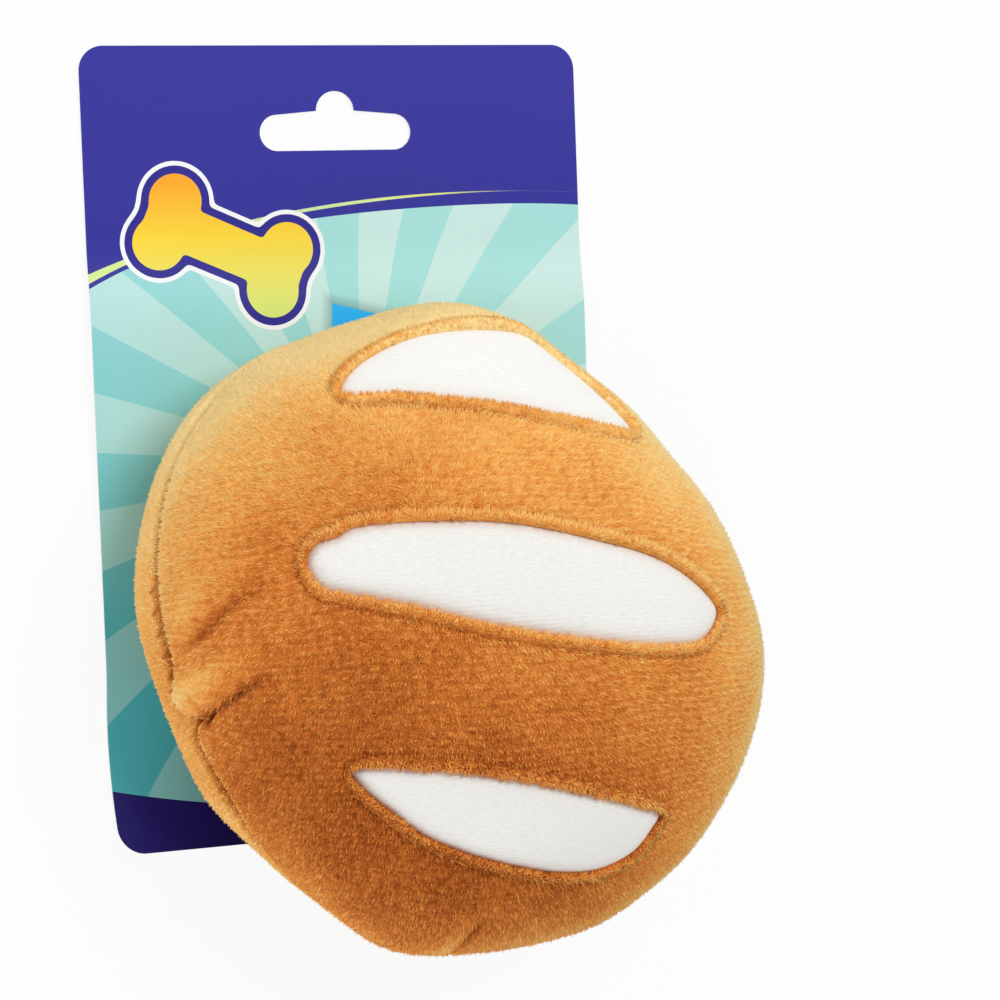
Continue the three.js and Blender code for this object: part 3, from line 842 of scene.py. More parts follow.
def panel(name, side, openings, material):
    """A panel of the roll: outer face with rolled edges, and a lining face, closed into one body."""
    shape = Shape()
    seam = seam_loop(side)
    groups = [(seam, -outward_steps(seam, side), SEAM_PROFILE, SEAM_LINING_FROM)]
    for corners in openings:
        groups.append((*window_loop(corners), HEM_PROFILE, HEM_LINING_FROM))
    outer_rings, lining_rings, edges = [], [], []
    for loop, steps, profile, _ in groups:
        rings, edge = lay_rings(shape, loop, steps, profile, side)
        outer_rings.append(rings)
        edges.append(edge)
    creased = (near_crease, CREASE_STEP) if side > 0 else ()
    places, triangles = fill(edges[0], edges[1:], FILL_STEP, *creased)
    bound = np.concatenate([rings[-1] for rings in outer_rings])
    added = places[len(bound):]
    bound = np.concatenate([bound, shape.add(skin(added, side, FIELD_HEIGHT), added)])
    for loop, steps, profile, lining_from in groups:
        section = [(out, LINING_DEPTH) for out, _ in profile[lining_from:]]
        rings, _ = lay_rings(shape, loop, steps, section, side)
        lining_rings.append(rings)
    lining = np.concatenate([rings[-1] for rings in lining_rings])
    lining = np.concatenate([lining, shape.add(skin(added, side, LINING_DEPTH), added)])
    shape.faces += bound[triangles[:, ::side]].tolist()
    shape.faces += lining[triangles[:, ::-side]].tolist()
    for i, (outer, inner) in enumerate(zip(outer_rings, lining_rings)):
        is_seam = i == 0
        flip = is_seam == (side < 0)
        shape.strips(outer, flip)
        shape.strips(inner, not flip)
        shape.strip(inner[0], outer[0], flip)
    places = np.vstack(shape.places)
    # Painted shade in the seam's groove, fading towards the top; the crease layer carries it with the panel's
    # other painted light
    groove = hump(distance_to(places, seam), SEAM_SHADE_REACH)
    shade = cloth_painted_light(places, side) - np.interp(places[:, 1], *SEAM_PAINTED_SHADE) * groove
    return shape.piece(name, material, {"crease": pairs(shade, shade)})


def inset(name, corners, material):
    """A patch under a window: sunk at its edge, full in the middle."""
    shape = Shape()
    loop, steps = window_loop(corners)
    edge = loop + steps * INSET_TUCK
    places, triangles = fill(edge, [], INSET_STEP)
    height = np.interp(distance_to(places, edge), *INSET_HEIGHT)
    top = shape.add(skin(places, 1, height), places)
    base = shape.add(skin(places, 1, height - INSET_THICKNESS), places)
    shape.faces += top[triangles].tolist()
    shape.faces += base[triangles[:, ::-1]].tolist()
    shape.strip(base[:len(edge)], top[:len(edge)])
    return shape.piece(name, material)


# Pile

class Pile:
    """Strands being gathered for one mesh: each is a closed spike of four faces."""

    def __init__(self, side, low, high):
        self.side = side
        self.low, self.high = low, high
        self.random = np.random.default_rng(PILE_SEED + side)
        self.shape = Shape()
        self.strands, self.normals = [], []

    def between(self, limits, count):
        return self.random.uniform(*limits, count)

    def grow(self, flat, height, normal, way, lean, length, paler):
        """Strands at places on the pattern, leaning from the normal along a way, by the lean's angle."""
        here = (flat[:, 1] >= self.low) & (flat[:, 1] < self.high)
        flat, height, normal, way, lean, length, paler = (
            values[here] for values in (flat, height, normal, way, lean, length, paler)
        )
        count = len(flat)
        scatter = self.random.normal(0, PILE_SCATTER, (count, 3))
        along = unit(tilted(normal * np.cos(lean)[:, None] + way * np.sin(lean)[:, None]) + scatter)
        across = unit(np.cross(along, tilted(normal) + PILE_NUDGE))
        other = np.cross(along, across)
        root = skin(flat, self.side, height + PILE_ROOT)
        width = self.between(PILE_WIDTH, count)[:, None] * MM
        corners = []
        for turn in (0, TURN / 3, 2 * TURN / 3):
            corners.append(root + width * (across * math.cos(turn) + other * math.sin(turn)))
        corners.append(root + along * length[:, None] * MM)
        points = np.stack(corners, axis=1).reshape(-1, 3)
        a, b, c, tip = self.shape.add(points, np.repeat(flat, 4, axis=0)).reshape(-1, 4).T
        for face in ((a, b, tip), (b, c, tip), (c, a, tip), (c, b, a)):
            self.shape.faces += np.stack(face, axis=1).tolist()
        self.strands.append(np.repeat(self.random.random(count) + paler, 4))
        self.normals.append(np.repeat(tilted(normal), 4, axis=0))

    def piece(self, name, material):
        count = self.shape.count // 4
        row = math.ceil(math.sqrt(count))
        cell = np.repeat(pairs(np.arange(count) % row, np.arange(count) // row), 4, axis=0)
        layers = {
            "strand": pairs(np.concatenate(self.strands), np.tile(SPIKE_HEIGHTS, count)),
            "OFBake": (cell + np.tile(SPIKE_SPOTS, (count, 1))) / row,
        }
        made = self.shape.piece(name, material, layers)
        own = np.zeros(len(made.data.vertices) * 3, np.float32)
        made.data.vertex_normals.foreach_get("vector", own)
        soft = np.vstack(self.normals) * PILE_SOFTNESS + own.reshape(-1, 3) * (1 - PILE_SOFTNESS)
        made.data.normals_split_custom_set_from_vertices(unit(soft).tolist())
        return made


def swirl(flat, lengths, bends):
    """A direction at each place, wandering in waves that bend each other."""
    x, y = flat.T
    a, b, c, d = lengths
    return pairs(np.sin(x / a + bends[0] * np.sin(y / b)), np.sin(y / c + bends[1] * np.sin(x / d)))


def nap_way(flat, side):
    """The lie of the nap on the pattern: outward in front and inward behind, with a drop, and wandering."""
    way = side * flat / NAP_SPREAD + NAP_DROP
    for strength, lengths, bends in NAP_SWIRLS:
        way = way + strength * swirl(flat, lengths, bends)
    return unit(way)


def knit(flat):
    """The cloth's knitted rows: 1 on a stitch, -1 between stitches, fainter towards the top."""
    x, y = flat.T
    c, s = math.cos(KNIT_ANGLE), math.sin(KNIT_ANGLE)
    along, up = x * c + y * s, y * c - x * s
    bow = KNIT_BOW[0] * np.sin(along / KNIT_BOW[1] + KNIT_BOW[2])
    ripple = KNIT_RIPPLE[0] * np.sin(along / KNIT_RIPPLE[1] + up / KNIT_RIPPLE[2])
    up = up + bow + ripple
    along = along + KNIT_SLIP[0] * np.sin(up / KNIT_SLIP[1])
    row = np.cos(TURN * up / KNIT_ROW)
    stitch = np.cos(TURN * along / KNIT_STITCH + math.pi * np.round(up / KNIT_ROW))
    return (KNIT_ROW_SHARE * row + (1 - KNIT_ROW_SHARE) * stitch) * np.interp(y, *KNIT_STRENGTH)


def field_pile(pile, openings):
    """Strands all over a panel, clear of its hems, its seam and what it rests on."""
    side = pile.side
    seam = seam_loop(side)
    holes = []
    for corners in openings:
        loop, steps = window_loop(corners)
        holes.append(loop + steps * PILE_FROM_WINDOW)
    step = PILE_STEP[side]
    flat = even_field(seam.min(0), seam.max(0), step)
    flat += pile.random.uniform(-0.5, 0.5, flat.shape) * step
    flat = flat[between_loops(flat, seam, holes)]
    flat = flat[distance_to(flat, seam) > PILE_FROM_SEAM]
    flat = flat[skin(flat, side, 0.0)[:, 2] > PILE_CLEAR * MM]
    slope_x, slope_y = pattern_slopes(flat, side)
    size = np.linalg.norm(np.cross(slope_x, slope_y), axis=1)
    keep = pile.random.random(len(flat)) < size
    flat, slope_x, slope_y = flat[keep], slope_x[keep], slope_y[keep]
    way = nap_way(flat, side)
    way = unit(slope_x * way[:, :1] + slope_y * way[:, 1:])
    depth = distance_to(flat, seam)
    near = np.interp(depth, *PILE_SEAM_SHARE)
    stitch = knit(flat)
    length = pile.between(PILE_LENGTH, len(flat)) * near * PILE_SHARE[side]
    length = length * (1 - KNIT_SHORTER * (1 - stitch))
    lean = pile.between(PILE_LEAN, len(flat)) * near
    # Paler by a painted highlight on the seam's ridge, by the panel's painted light, and by the knit
    paler = SEAM_PAINTED_HIGHLIGHT * (1 - near) + cloth_painted_light(flat, side) + KNIT_PALER * stitch
    height = np.interp(depth, *PILE_HEIGHT)
    pile.grow(flat, height, pattern_normal(flat, side), way, lean, length, paler)


def hem_pile(pile, corners):
    """Short strands on a window's rolled hem, square to its edge."""
    loop, steps = window_loop(corners)
    body = pattern_point(loop, pile.side)
    around = np.linalg.norm(np.roll(body, -1, 0) - body, axis=1).sum()
    count = int(around * (HEM_PILE_RANGE[1] - HEM_PILE_RANGE[0]) * HEM_PILE_DENSITY)
    run = pile.between((0, WINDOW_STEPS), count)
    first = run.astype(int)
    share = (run - first)[:, None]
    after = (first + 1) % WINDOW_STEPS
    out = pile.between(HEM_PILE_RANGE, count)
    step = steps[first] * (1 - share) + steps[after] * share
    flat = loop[first] * (1 - share) + loop[after] * share + step * out[:, None]
    section = np.array(HEM_PROFILE[HEM_FACE_FROM:]).T
    rise = np.interp(out + SLOPE_STEP, *section) - np.interp(out - SLOPE_STEP, *section)
    slope_x, slope_y = pattern_slopes(flat, pile.side)
    outward = slope_x * step[:, :1] + slope_y * step[:, 1:]
    normal = unit(pattern_normal(flat, pile.side) - outward * (rise / (2 * SLOPE_STEP))[:, None])
    lean = pile.between(HEM_PILE_LEAN, count)
    lean[(flat[:, 1] > HEM_TURNED_FROM) & (step[:, 1] > 0)] *= -1
    length = pile.between(HEM_PILE_LENGTH, count)
    # Painted highlight on the roll and painted shade in its groove, swapped on the upper hems, and painted
    # shade darkest on the top hem
    paler = np.interp(out, *HEM_PAINTED_LIGHT) * np.interp(flat[:, 1], *HEM_LIGHT_SWAP)
    paler -= np.interp(flat[:, 1], *HEM_PAINTED_SHADE)
    pile.grow(flat, np.interp(out, *section), normal, outward, lean, length, paler)


def pile_of(name, side, openings, material, low=-math.inf, high=math.inf):
    """The pile of one panel, or of the part of it between two heights on its pattern."""
    pile = Pile(side, low, high)
    field_pile(pile, openings)
    for corners in openings:
        hem_pile(pile, corners)
    return pile.piece(name, material)


# Card

def card_rise(y):
    lift = CARD_LIFT * smoothstep(CARD_HEADER_END - y, CARD_RAMP) * smoothstep(y - CARD_TOUCH_DOWN, CARD_RAMP)
    return lift + CARD_CURL_RISE * (np.maximum(0, CARD_TOUCH_DOWN - y) / CARD_CURL_LENGTH) ** 2


def arc(x, y, radius, start, end, count):
    angle = np.radians(np.linspace(start, end, count))
    return pairs(x + radius * np.cos(angle), y + radius * np.sin(angle))


def refined(points, step):
    """A closed loop with no edge much longer than the step, its corners kept."""
    dense = []
    for start, end in zip(points, np.roll(points, -1, 0)):
        count = max(1, int(np.linalg.norm(end - start) / step))
        dense += [start + (end - start) * i / count for i in range(count)]
    return np.array(dense)


def card_loops():
    """The card's outline, its euro slot and the slits of its two pins."""
    x, top, low = CARD_SIDE - CARD_CORNER, CARD_TOP - CARD_CORNER, CARD_BOTTOM + CARD_CORNER
    corners = ((x, low, -90), (x, top, 0), (-x, top, 90), (-x, low, 180))
    outline = np.vstack([arc(cx, cy, CARD_CORNER, turn, turn + 90, CARD_ARC) for cx, cy, turn in corners])
    slot = np.vstack([
        arc(SLOT_REACH, 0, SLOT_END, -90, 90, SLOT_ARC),
        arc(0, SLOT_HUMP_CENTRE, SLOT_HUMP, 0, 180, SLOT_ARC),
        arc(-SLOT_REACH, 0, SLOT_END, 90, 270, SLOT_ARC),
    ])
    loops = [refined(outline, CARD_STEP), refined(slot, SLOT_STEP)]
    for pin in PIN_X:
        left, right, low, high = pin - SLIT_HALF, pin + SLIT_HALF, PIN_Y - SLIT_HALF, PIN_Y + SLIT_REACH
        loops.append(np.array([(left, low), (right, low), (right, high), (left, high)]))
    return loops


def card(name, printed, board):
    shape = Shape()
    loops = card_loops()
    places, triangles = fill(loops[0], loops[1:], CARD_STEP)
    rise = card_rise(places[:, 1])
    face = np.column_stack([places, rise + CARD_THICKNESS]) * MM
    back = np.column_stack([places, rise]) * MM
    top = shape.add(face, places)
    base = shape.add(back, places)
    shape.faces += top[triangles].tolist()
    front_faces = len(shape.faces)
    shape.faces += base[triangles[:, ::-1]].tolist()
    start = 0
    for i, loop in enumerate(loops):
        ring = np.arange(start, start + len(loop))
        wall_top, wall_base = shape.add(face[ring], loop), shape.add(back[ring], loop)
        shape.strip(wall_base, wall_top, flip=i > 0)
        start += len(loop)
    made = shape.piece(name, printed)
    made.data.materials.append(board)
    index = np.ones(len(made.data.polygons), np.int32)
    index[:front_faces] = 0
    made.data.polygons.foreach_set("material_index", index)
    return made


# Threads

def across_frames(path):
    """Two directions square to a path at each of its points, turning as little as they can."""
    along = unit(np.gradient(path, axis=0))
    first = np.cross(along[0], TUBE_START)
    firsts = []
    for direction in along:
        first = first - direction * (first @ direction)
        first = first / np.linalg.norm(first)
        firsts.append(first)
    firsts = np.array(firsts)
    return firsts, np.cross(along, firsts)


def tube(shape, path, radius):
    """A closed tube along an open path, narrowed at its ends, with the path in metres."""
    first, second = across_frames(path)
    turn = np.linspace(0, TURN, TUBE_SIDES, endpoint=False)
    run = distances(path) / MM
    rings = []
    for i, point in enumerate(path):
        size = radius * MM * (TUBE_END if i in (0, len(path) - 1) else 1.0)
        ring = point + size * (np.outer(np.cos(turn), first[i]) + np.outer(np.sin(turn), second[i]))
        rings.append(shape.add(ring, pairs(np.full(TUBE_SIDES, run[i]), turn * radius)))
    shape.strips(rings)
    shape.faces += [rings[0][::-1].tolist(), rings[-1].tolist()]


def sewn_line(name, loop, height, thread, material):
    """A line of stitches round a loop on the front, each dipping into the cloth at both its ends."""
    stitch, gap, radius = thread
    shape = Shape()
    ring = np.vstack([loop, loop[:1]])
    run = distances(pattern_point(ring, 1))
    count = int(run[-1] / (stitch + gap))
    share = np.linspace(0, 1, STITCH_POINTS)
    dip = height - STITCH_DIP * np.abs(2 * share - 1) ** STITCH_DIP_POWER
    for i in range(count):
        wanted = (i + share * stitch / (stitch + gap)) * run[-1] / count
        tube(shape, skin(along_path(ring, run, wanted), 1, dip), radius)
    return shape.piece(name, material)


def closing_ladder(name, material):
    """Hand stitches that cross the seam where the filling went in."""
    shape = Shape()
    loops = {side: seam_loop(side) for side in (1, -1)}
    steps = {side: -outward_steps(loops[side], side) for side in (1, -1)}
    first, last = (int(math.radians(a) / TURN * SEAM_STEPS) for a in CLOSING_RANGE)
    stops = np.linspace(first, last, CLOSING_STITCHES + 1).astype(int)
    for start, end in zip(stops, stops[1:]):
        station = {1: start, -1: start + (end - start) // 2}
        path = []
        for side, reach, height in CLOSING_PATH:
            flat = loops[side] + steps[side] * reach
            path.append(skin(flat[station[side]][None], side, height))
        tube(shape, smooth_path(np.vstack(path), CLOSING_POINTS), CLOSING_THREAD / 2)
    return shape.piece(name, material)


def smooth_path(path, count):
    dense = along_path(path, np.linspace(0, 1, len(path)), np.linspace(0, 1, count))
    for _ in range(2):
        dense[1:-1] = (dense[:-2] + 2 * dense[1:-1] + dense[2:]) / 4
    return dense


# Filling and squeaker

def squeaker_edge(radius, side):
    """Height of the hollow that the squeaker fills, above (side 1) or below it."""
    round_off = np.sqrt(np.clip(BLADDER_EDGE**2 - np.maximum(radius - BLADDER_FLAT, 0) ** 2, 0, None))
    edge = SQUEAKER_Z + side * (round_off + SQUEAKER_ROOM)
    if side < 0:
        edge = np.where(radius < NECK_RADIUS + SQUEAKER_ROOM, SLEEVE_BASE - SQUEAKER_ROOM, edge)
    return np.where(radius < BLADDER_FLAT + BLADDER_EDGE, edge, side * -HOLLOW_NONE)


def wad_lumps(points):
    """The uneven face of loose filling: small tufts and lumps of some centimetres."""
    x, y, z = points.T
    a, b, c, d = WAD_TUFT_LENGTHS
    first, second = WAD_TUFT_BENDS
    tufts = np.sin(x / a + np.sin(y / b) * first) * np.sin(y / c + np.sin(z / d) * second)
    a, b, c, d = WAD_LUMP_LENGTHS
    return WAD_TUFT * tufts + WAD_LUMP * np.sin(x / a + z / b) * np.sin(y / c - z / d)


def wad_hollow(flat, side):
    """How far slack cloth and creases press into the filling under them."""
    depth = np.maximum(0, -rim_bulge(flat))
    if side < 0:
        return depth
    for crease in CREASES:
        taper, across, _ = crease_place(flat, crease)
        depth += taper * crease["depth"] * hump(across, crease["width"] + WAD_CREASE)
    return depth + PIT_DEPTH * pit(flat)


def wad_outside(side, angle):
    """Rings of the filling's face under the cloth, from the middle to the seam."""
    bend = polar(seam_loop(1)[:: SEAM_STEPS // WAD_ROUND])[1] / rim_radius(angle)
    pole = 0.0 if side > 0 else math.pi
    rings = []
    for share in np.linspace(WAD_POLE, 1, WAD_RINGS):
        curve = pole + (bend - pole) * share
        points = body_point(angle, curve, WAD_INSET)
        reach = (curve if side > 0 else math.pi - curve) * rim_radius(angle)
        flat = from_polar(angle, reach)
        points -= pattern_normal(flat, side) * wad_hollow(flat, side)[:, None]
        level = side * seam_height(*points[:, :2].T) + WAD_GAP
        points[:, 2] = side * np.maximum(side * points[:, 2], level)
        rings.append(points + unit(points - (0, 0, WAD_MIDDLE * side)) * wad_lumps(points)[:, None])
    return rings, polar(points)[1]


def wad_inside(side, angle, rim):
    """Rings of the filling's face along the seam's surface, from the seam inwards, round the squeaker."""
    hollow = NECK_RADIUS + SQUEAKER_ROOM
    rings = []
    for k in range(1, WAD_RINGS):
        share = 1 - k / WAD_RINGS
        radius = np.full(WAD_ROUND, hollow * (share / HOLLOW_SHARE))
        if share * rim.min() > hollow + HOLLOW_MARGIN:
            radius = rim * share
        x, y = from_polar(angle, radius).T
        level = seam_height(x, y) + side * WAD_GAP
        z = side * np.maximum(side * level, side * squeaker_edge(radius, side))
        rings.append(np.stack([x, y, z], axis=1))
    return rings


def wadding(name, side, material):
    """Loose filling on one side of the seam, hollowed for the squeaker."""
    shape = Shape()
    angle = np.linspace(0, TURN, WAD_ROUND, endpoint=False)
    outside, rim = wad_outside(side, angle)
    rings = [shape.add(to_frame(p), p[:, :2]) for p in outside + wad_inside(side, angle, rim)]
    shape.strips(rings, flip=side > 0)
    shape.faces += [rings[0][::side].tolist(), rings[-1][::-side].tolist()]
    return shape.piece(name, material)


def bladder_outline(wall):
    """Radius and height along the bladder, from its mouth to its top, at a depth in its wall."""
    sweep = np.radians(np.linspace(-90, 90, BLADDER_ARC))
    edge = BLADDER_EDGE - wall
    ridge = PARTING_RIDGE * hump(sweep, RIDGE_WIDTH) if wall == 0 else 0.0
    r = BLADDER_FLAT + (edge + ridge) * np.cos(sweep)
    z = SQUEAKER_Z + (edge + ridge) * np.sin(sweep)
    neck, low = NECK_RADIUS - wall, SQUEAKER_Z - edge
    foot = [(neck, NECK_END), (neck, NECK_END + NECK_LIP)]
    foot += [(neck + out, low - drop) for out, drop in NECK_FLARE]
    top = [(radius, z[-1] + rise) for radius, rise in BLADDER_TOP]
    return np.vstack([foot, pairs(r, z)[1:], top])


def bladder(name, material):
    """A moulded bladder with a neck, a parting ridge round its middle and an open mouth."""
    shape = Shape()
    turn = np.linspace(0, TURN, BLADDER_ROUND, endpoint=False)
    rings = []
    for r, z in np.vstack([bladder_outline(0.0), bladder_outline(BLADDER_WALL)[::-1]]):
        places = from_polar(turn, r)
        rings.append(shape.add(to_frame(np.column_stack([places, np.full(BLADDER_ROUND, z)])), places))
    half = len(rings) // 2
    shape.strips(rings[:half])
    shape.strips(rings[half:])
    shape.strip(rings[-1], rings[0])
    shape.faces += [rings[half - 1].tolist(), rings[half][::-1].tolist()]
    return shape.piece(name, material)


# Swelling: a coarse copy of the roll is blown up as cloth, held along its seam and windows

class Swelling:
    """How far the blown-up cloth rose over each place of one pattern."""

    def __init__(self, places, rise):
        self.rise = rise
        self.tree = tree_of(places)

    def at(self, flat):
        heights = np.empty(len(flat))
        for k, (x, y) in enumerate(flat):
            near = self.tree.find_n((x, y, 0), SWELL_NEAREST)
            weights = np.array([1 / (d * d + SWELL_SOFTNESS) for _, _, d in near])
            heights[k] = weights @ self.rise[[i for _, i, _ in near]] / weights.sum()
        return heights


def swell():
    shape = Shape()
    held, spans = set(), []
    sewn = np.vstack([closed_curve(corners, SWELL_WINDOW) for corners in WINDOWS.values()])
    rim = np.empty(0, int)
    for side in (1, -1):
        seam = seam_loop(side)[:: SEAM_STEPS // SWELL_RIM]
        places, triangles = fill(seam, [], SWELL_STEP)
        points = skin(places, side, SWELL_START)
        shared = len(rim)
        index = np.concatenate([rim, shape.add(points[shared:], places[shared:])])
        rim = index[:len(seam)]
        shape.faces += index[triangles[:, ::side]].tolist()
        near = distance_to(places, seam) < SWELL_HELD
        if side > 0:
            near |= distance_to(places, sewn) < SWELL_HELD
        held.update(index[near].tolist())
        spans.append((side, index, places, pattern_normal(places, side)))
    cloth = shape.piece("swelling", None)
    moved = blown_up(cloth, sorted(held)) - np.vstack(shape.points)
    bpy.data.objects.remove(cloth)
    for side, index, places, normal in spans:
        rise = np.sum(moved[index] * tilted(normal), axis=1) / MM
        SWELLING[side] = Swelling(places, np.clip(rise, -SWELL_MOST, SWELL_MOST) + SWELL_START)


def blown_up(cloth, held):
    """Points of a mesh after a cloth simulation with pressure and no gravity."""
    cloth.vertex_groups.new(name=CLOTH["vertex_group_mass"]).add(held, 1.0, "REPLACE")
    modifier = cloth.modifiers.new("cloth", "CLOTH")
    for setting, value in CLOTH.items():
        setattr(modifier.settings, setting, value)
    modifier.settings.effector_weights.gravity = 0
    modifier.point_cache.frame_start = 1
    modifier.point_cache.frame_end = SWELL_FRAMES
    scene = bpy.context.scene
    for step in range(1, SWELL_FRAMES + 1):
        scene.frame_set(step)
    moved = cloth.evaluated_get(bpy.context.evaluated_depsgraph_get()).data
    points = np.empty(len(moved.vertices) * 3)
    moved.vertices.foreach_get("co", points)
    scene.frame_set(1)
    return points.reshape(-1, 3)


# Materials

class Tree:
    """A node tree under construction."""

    def __init__(self, tree):
        self.tree = tree

    def link(self, value, socket):
        if isinstance(value, bpy.types.NodeSocket):
            self.tree.links.new(value, socket)
        else:
            socket.default_value = value

    def node(self, kind, inputs=(), **settings):
        """A node with its settings, and with a value or another node's output at each given input."""
        made = self.tree.nodes.new(kind)
        for key, value in settings.items():
            setattr(made, key, value)
        for key, value in dict(inputs).items():
            self.link(value, made.inputs[key])
        return made

    def math(self, operation, *values, clamp=False):
        made = self.node("ShaderNodeMath", enumerate(values), operation=operation, use_clamp=clamp)
        return made.outputs[0]

    def add(self, base, value, factor, clamp=False):
        """A base with a value times a factor added."""
        return self.math("MULTIPLY_ADD", value, factor, base, clamp=clamp)

    def vary(self, base, value, factor):
        """A base moved up and down by a value that lies about a half."""
        return self.add(base, self.math("SUBTRACT", value, 0.5), factor)

    def polynomial(self, x, factors):
        value = factors[0]
        for factor in factors[1:]:
            value = self.add(factor, value, x)
        return value

    def along(self, x, y, way):
        """How far a place lies along a way."""
        return self.add(self.math("MULTIPLY", y, way[1]), x, way[0])

    def length(self, x, y):
        return self.math("SQRT", self.along(x, y, (x, y)))

    def away(self, x, y, place):
        """A place as seen from another one."""
        return [self.math("SUBTRACT", value, middle) for value, middle in zip((x, y), place)]


def rgba(colour):
    """A colour as a shader takes it: a node's output as it is, or three values with a fourth."""
    return colour if isinstance(colour, bpy.types.NodeSocket) else (*colour, 1)


class Nodes(Tree):
    """A procedural material under construction."""

    def __init__(self, name):
        self.material = bpy.data.materials.new(name)
        self.material.use_nodes = True
        super().__init__(self.material.node_tree)
        self.shader = self.tree.nodes["Principled BSDF"]

    def pattern(self, title="pattern"):
        return self.node("ShaderNodeUVMap", uv_map=title).outputs[0]

    def split(self, vector):
        return self.node("ShaderNodeSeparateXYZ", {0: vector}).outputs[:2]

    def vector(self, operation, *values):
        return self.node("ShaderNodeVectorMath", enumerate(values), operation=operation).outputs[0]

    def noise(self, vector, output="Fac", **values):
        return self.node("ShaderNodeTexNoise", {"Vector": vector, **values}).outputs[output]

    def ramp(self, value, stops):
        made = self.node("ShaderNodeValToRGB", {0: value})
        elements = made.color_ramp.elements
        while len(elements) < len(stops):
            elements.new(0.5)
        for element, (position, colour) in zip(elements, stops):
            element.position = position
            element.color = rgba(colour)
        return made.outputs[0]

    def mix(self, factor, first, second):
        inputs = {0: factor, 6: rgba(first), 7: rgba(second)}
        return self.node("ShaderNodeMix", inputs, data_type="RGBA").outputs[2]

    def bump(self, height, strength, distance):
        made = self.node("ShaderNodeBump", {"Strength": strength, "Distance": distance, "Height": height})
        self.link(made.outputs[0], self.shader.inputs["Normal"])

    def surface(self, colour, **values):
        self.link(rgba(colour), self.shader.inputs["Base Color"])
        for key, value in values.items():
            self.link(value, self.shader.inputs[key.replace("_", " ")])
        return self.material


def srgb(red, green, blue):
    """A colour written as 0 to 255 values on screen, as the linear values that a shader takes."""
    def linear(value):
        share = value / 255
        return share / 12.92 if share <= 0.04045 else ((share + 0.055) / 1.055) ** 2.4
    return linear(red), linear(green), linear(blue)


NAVY = srgb(50, 48, 152)
BROWNS = [
    (0.0, srgb(146, 68, 22)), (0.3, srgb(217, 124, 52)), (0.5, srgb(243, 164, 78)),
    (0.72, srgb(255, 198, 112)), (1.0, srgb(255, 225, 157)),
]


def nap(nodes, turn, width, length):
    """Streaks of pile on the pattern: a value about 0.5, stretched along the lie of the pile."""
    place = nodes.pattern()
    drift = nodes.noise(place, "Color", Scale=6.0, Detail=1.0)
    wander = nodes.vector("SUBTRACT", drift, (0.5, 0.5, 0.5))
    wander = nodes.vector("MULTIPLY", wander, (NAP_DRIFT, NAP_DRIFT, NAP_DRIFT))
    mapping = nodes.node("ShaderNodeMapping", {
        "Vector": nodes.vector("ADD", place, wander),
        "Rotation": (0, 0, turn),
        "Scale": (1 / PATTERN_UNIT / length, 1 / PATTERN_UNIT / width, 1),
    })
    return nodes.noise(mapping.outputs[0], Scale=1.0, Detail=3.0, Roughness=0.6)


def brown_tone_and_painted_light(nodes, middle):
    """How pale the brown is by its place: painted light paler towards the top and one side, painted sheen
    paler towards the rim, with soft patches.
    """
    place = nodes.pattern()
    x, y = nodes.split(place)
    reach = nodes.math("MINIMUM", nodes.length(x, y), TONE_EDGE_REACH)
    # Painted light: paler by the height and the side, and painted sheen paler at the rim
    tone = nodes.add(middle, y, TONE_PAINTED_TOP_LIGHT)
    tone = nodes.add(tone, x, TONE_PAINTED_SIDE_LIGHT)
    tone = nodes.add(tone, nodes.math("POWER", reach, TONE_EDGE_POWER), TONE_PAINTED_SHEEN)
    tone = nodes.vary(tone, nodes.noise(place, Scale=5.0, Detail=2.0), TONE_PATCH)
    return nodes.vary(tone, nodes.noise(place, Scale=55.0, Detail=1.0), TONE_TUFT)


def plush(name):
    """The cloth under the pile: streaks of nap and fine grain on the brown."""
    nodes = Nodes(name)
    streak = nap(nodes, math.radians(35), width=0.55, length=1.7)
    fine = nodes.noise(nodes.pattern(), Scale=260.0, Detail=1.0)
    # The crease layer holds painted highlight and painted shade of creases, seam and pit, and painted sheen
    # at the back
    crease, _ = nodes.split(nodes.pattern("crease"))
    tone = nodes.add(brown_tone_and_painted_light(nodes, TONE_CLOTH), crease, STRAND_SPREAD)
    tone = nodes.vary(tone, streak, TONE_STREAK)
    tone = nodes.vary(tone, fine, TONE_FINE)
    nodes.bump(nodes.add(streak, fine, FINE_BUMP), strength=0.8, distance=0.0006)
    return nodes.surface(nodes.ramp(tone, BROWNS), Roughness=0.95, Sheen_Weight=0.2, **BROWN_SHEEN)


def strands(name):
    """Pile fibres, each of its own tone and paler towards the tip."""
    nodes = Nodes(name)
    shade, height = nodes.split(nodes.pattern("strand"))
    # Each strand's shade holds its random tone, its knit and its painted highlight and shade
    tone = nodes.vary(brown_tone_and_painted_light(nodes, TONE_PILE), shade, STRAND_SPREAD)
    tone = nodes.add(tone, height, STRAND_TIP)
    return nodes.surface(nodes.ramp(tone, BROWNS), Roughness=0.9, Sheen_Weight=0.15, **BROWN_SHEEN)


def white_plush(name):
    """Smooth white plush: fine streaks of nap over faint ribs."""
    nodes = Nodes(name)
    streak = nap(nodes, math.radians(12), width=0.35, length=1.6)
    _, y = nodes.split(nodes.pattern())
    rib = nodes.math("SINE", nodes.math("MULTIPLY", y, TURN / PATTERN_UNIT / WHITE_RIB))
    colour = nodes.ramp(streak, [(0.2, srgb(228, 227, 222)), (0.7, srgb(244, 243, 239))])
    nodes.bump(nodes.add(streak, rib, RIB_BUMP), strength=0.28, distance=0.0003)
    return nodes.surface(
        colour, Roughness=0.9, Specular_IOR_Level=0.2, Sheen_Weight=0.25, Sheen_Roughness=0.5,
    )


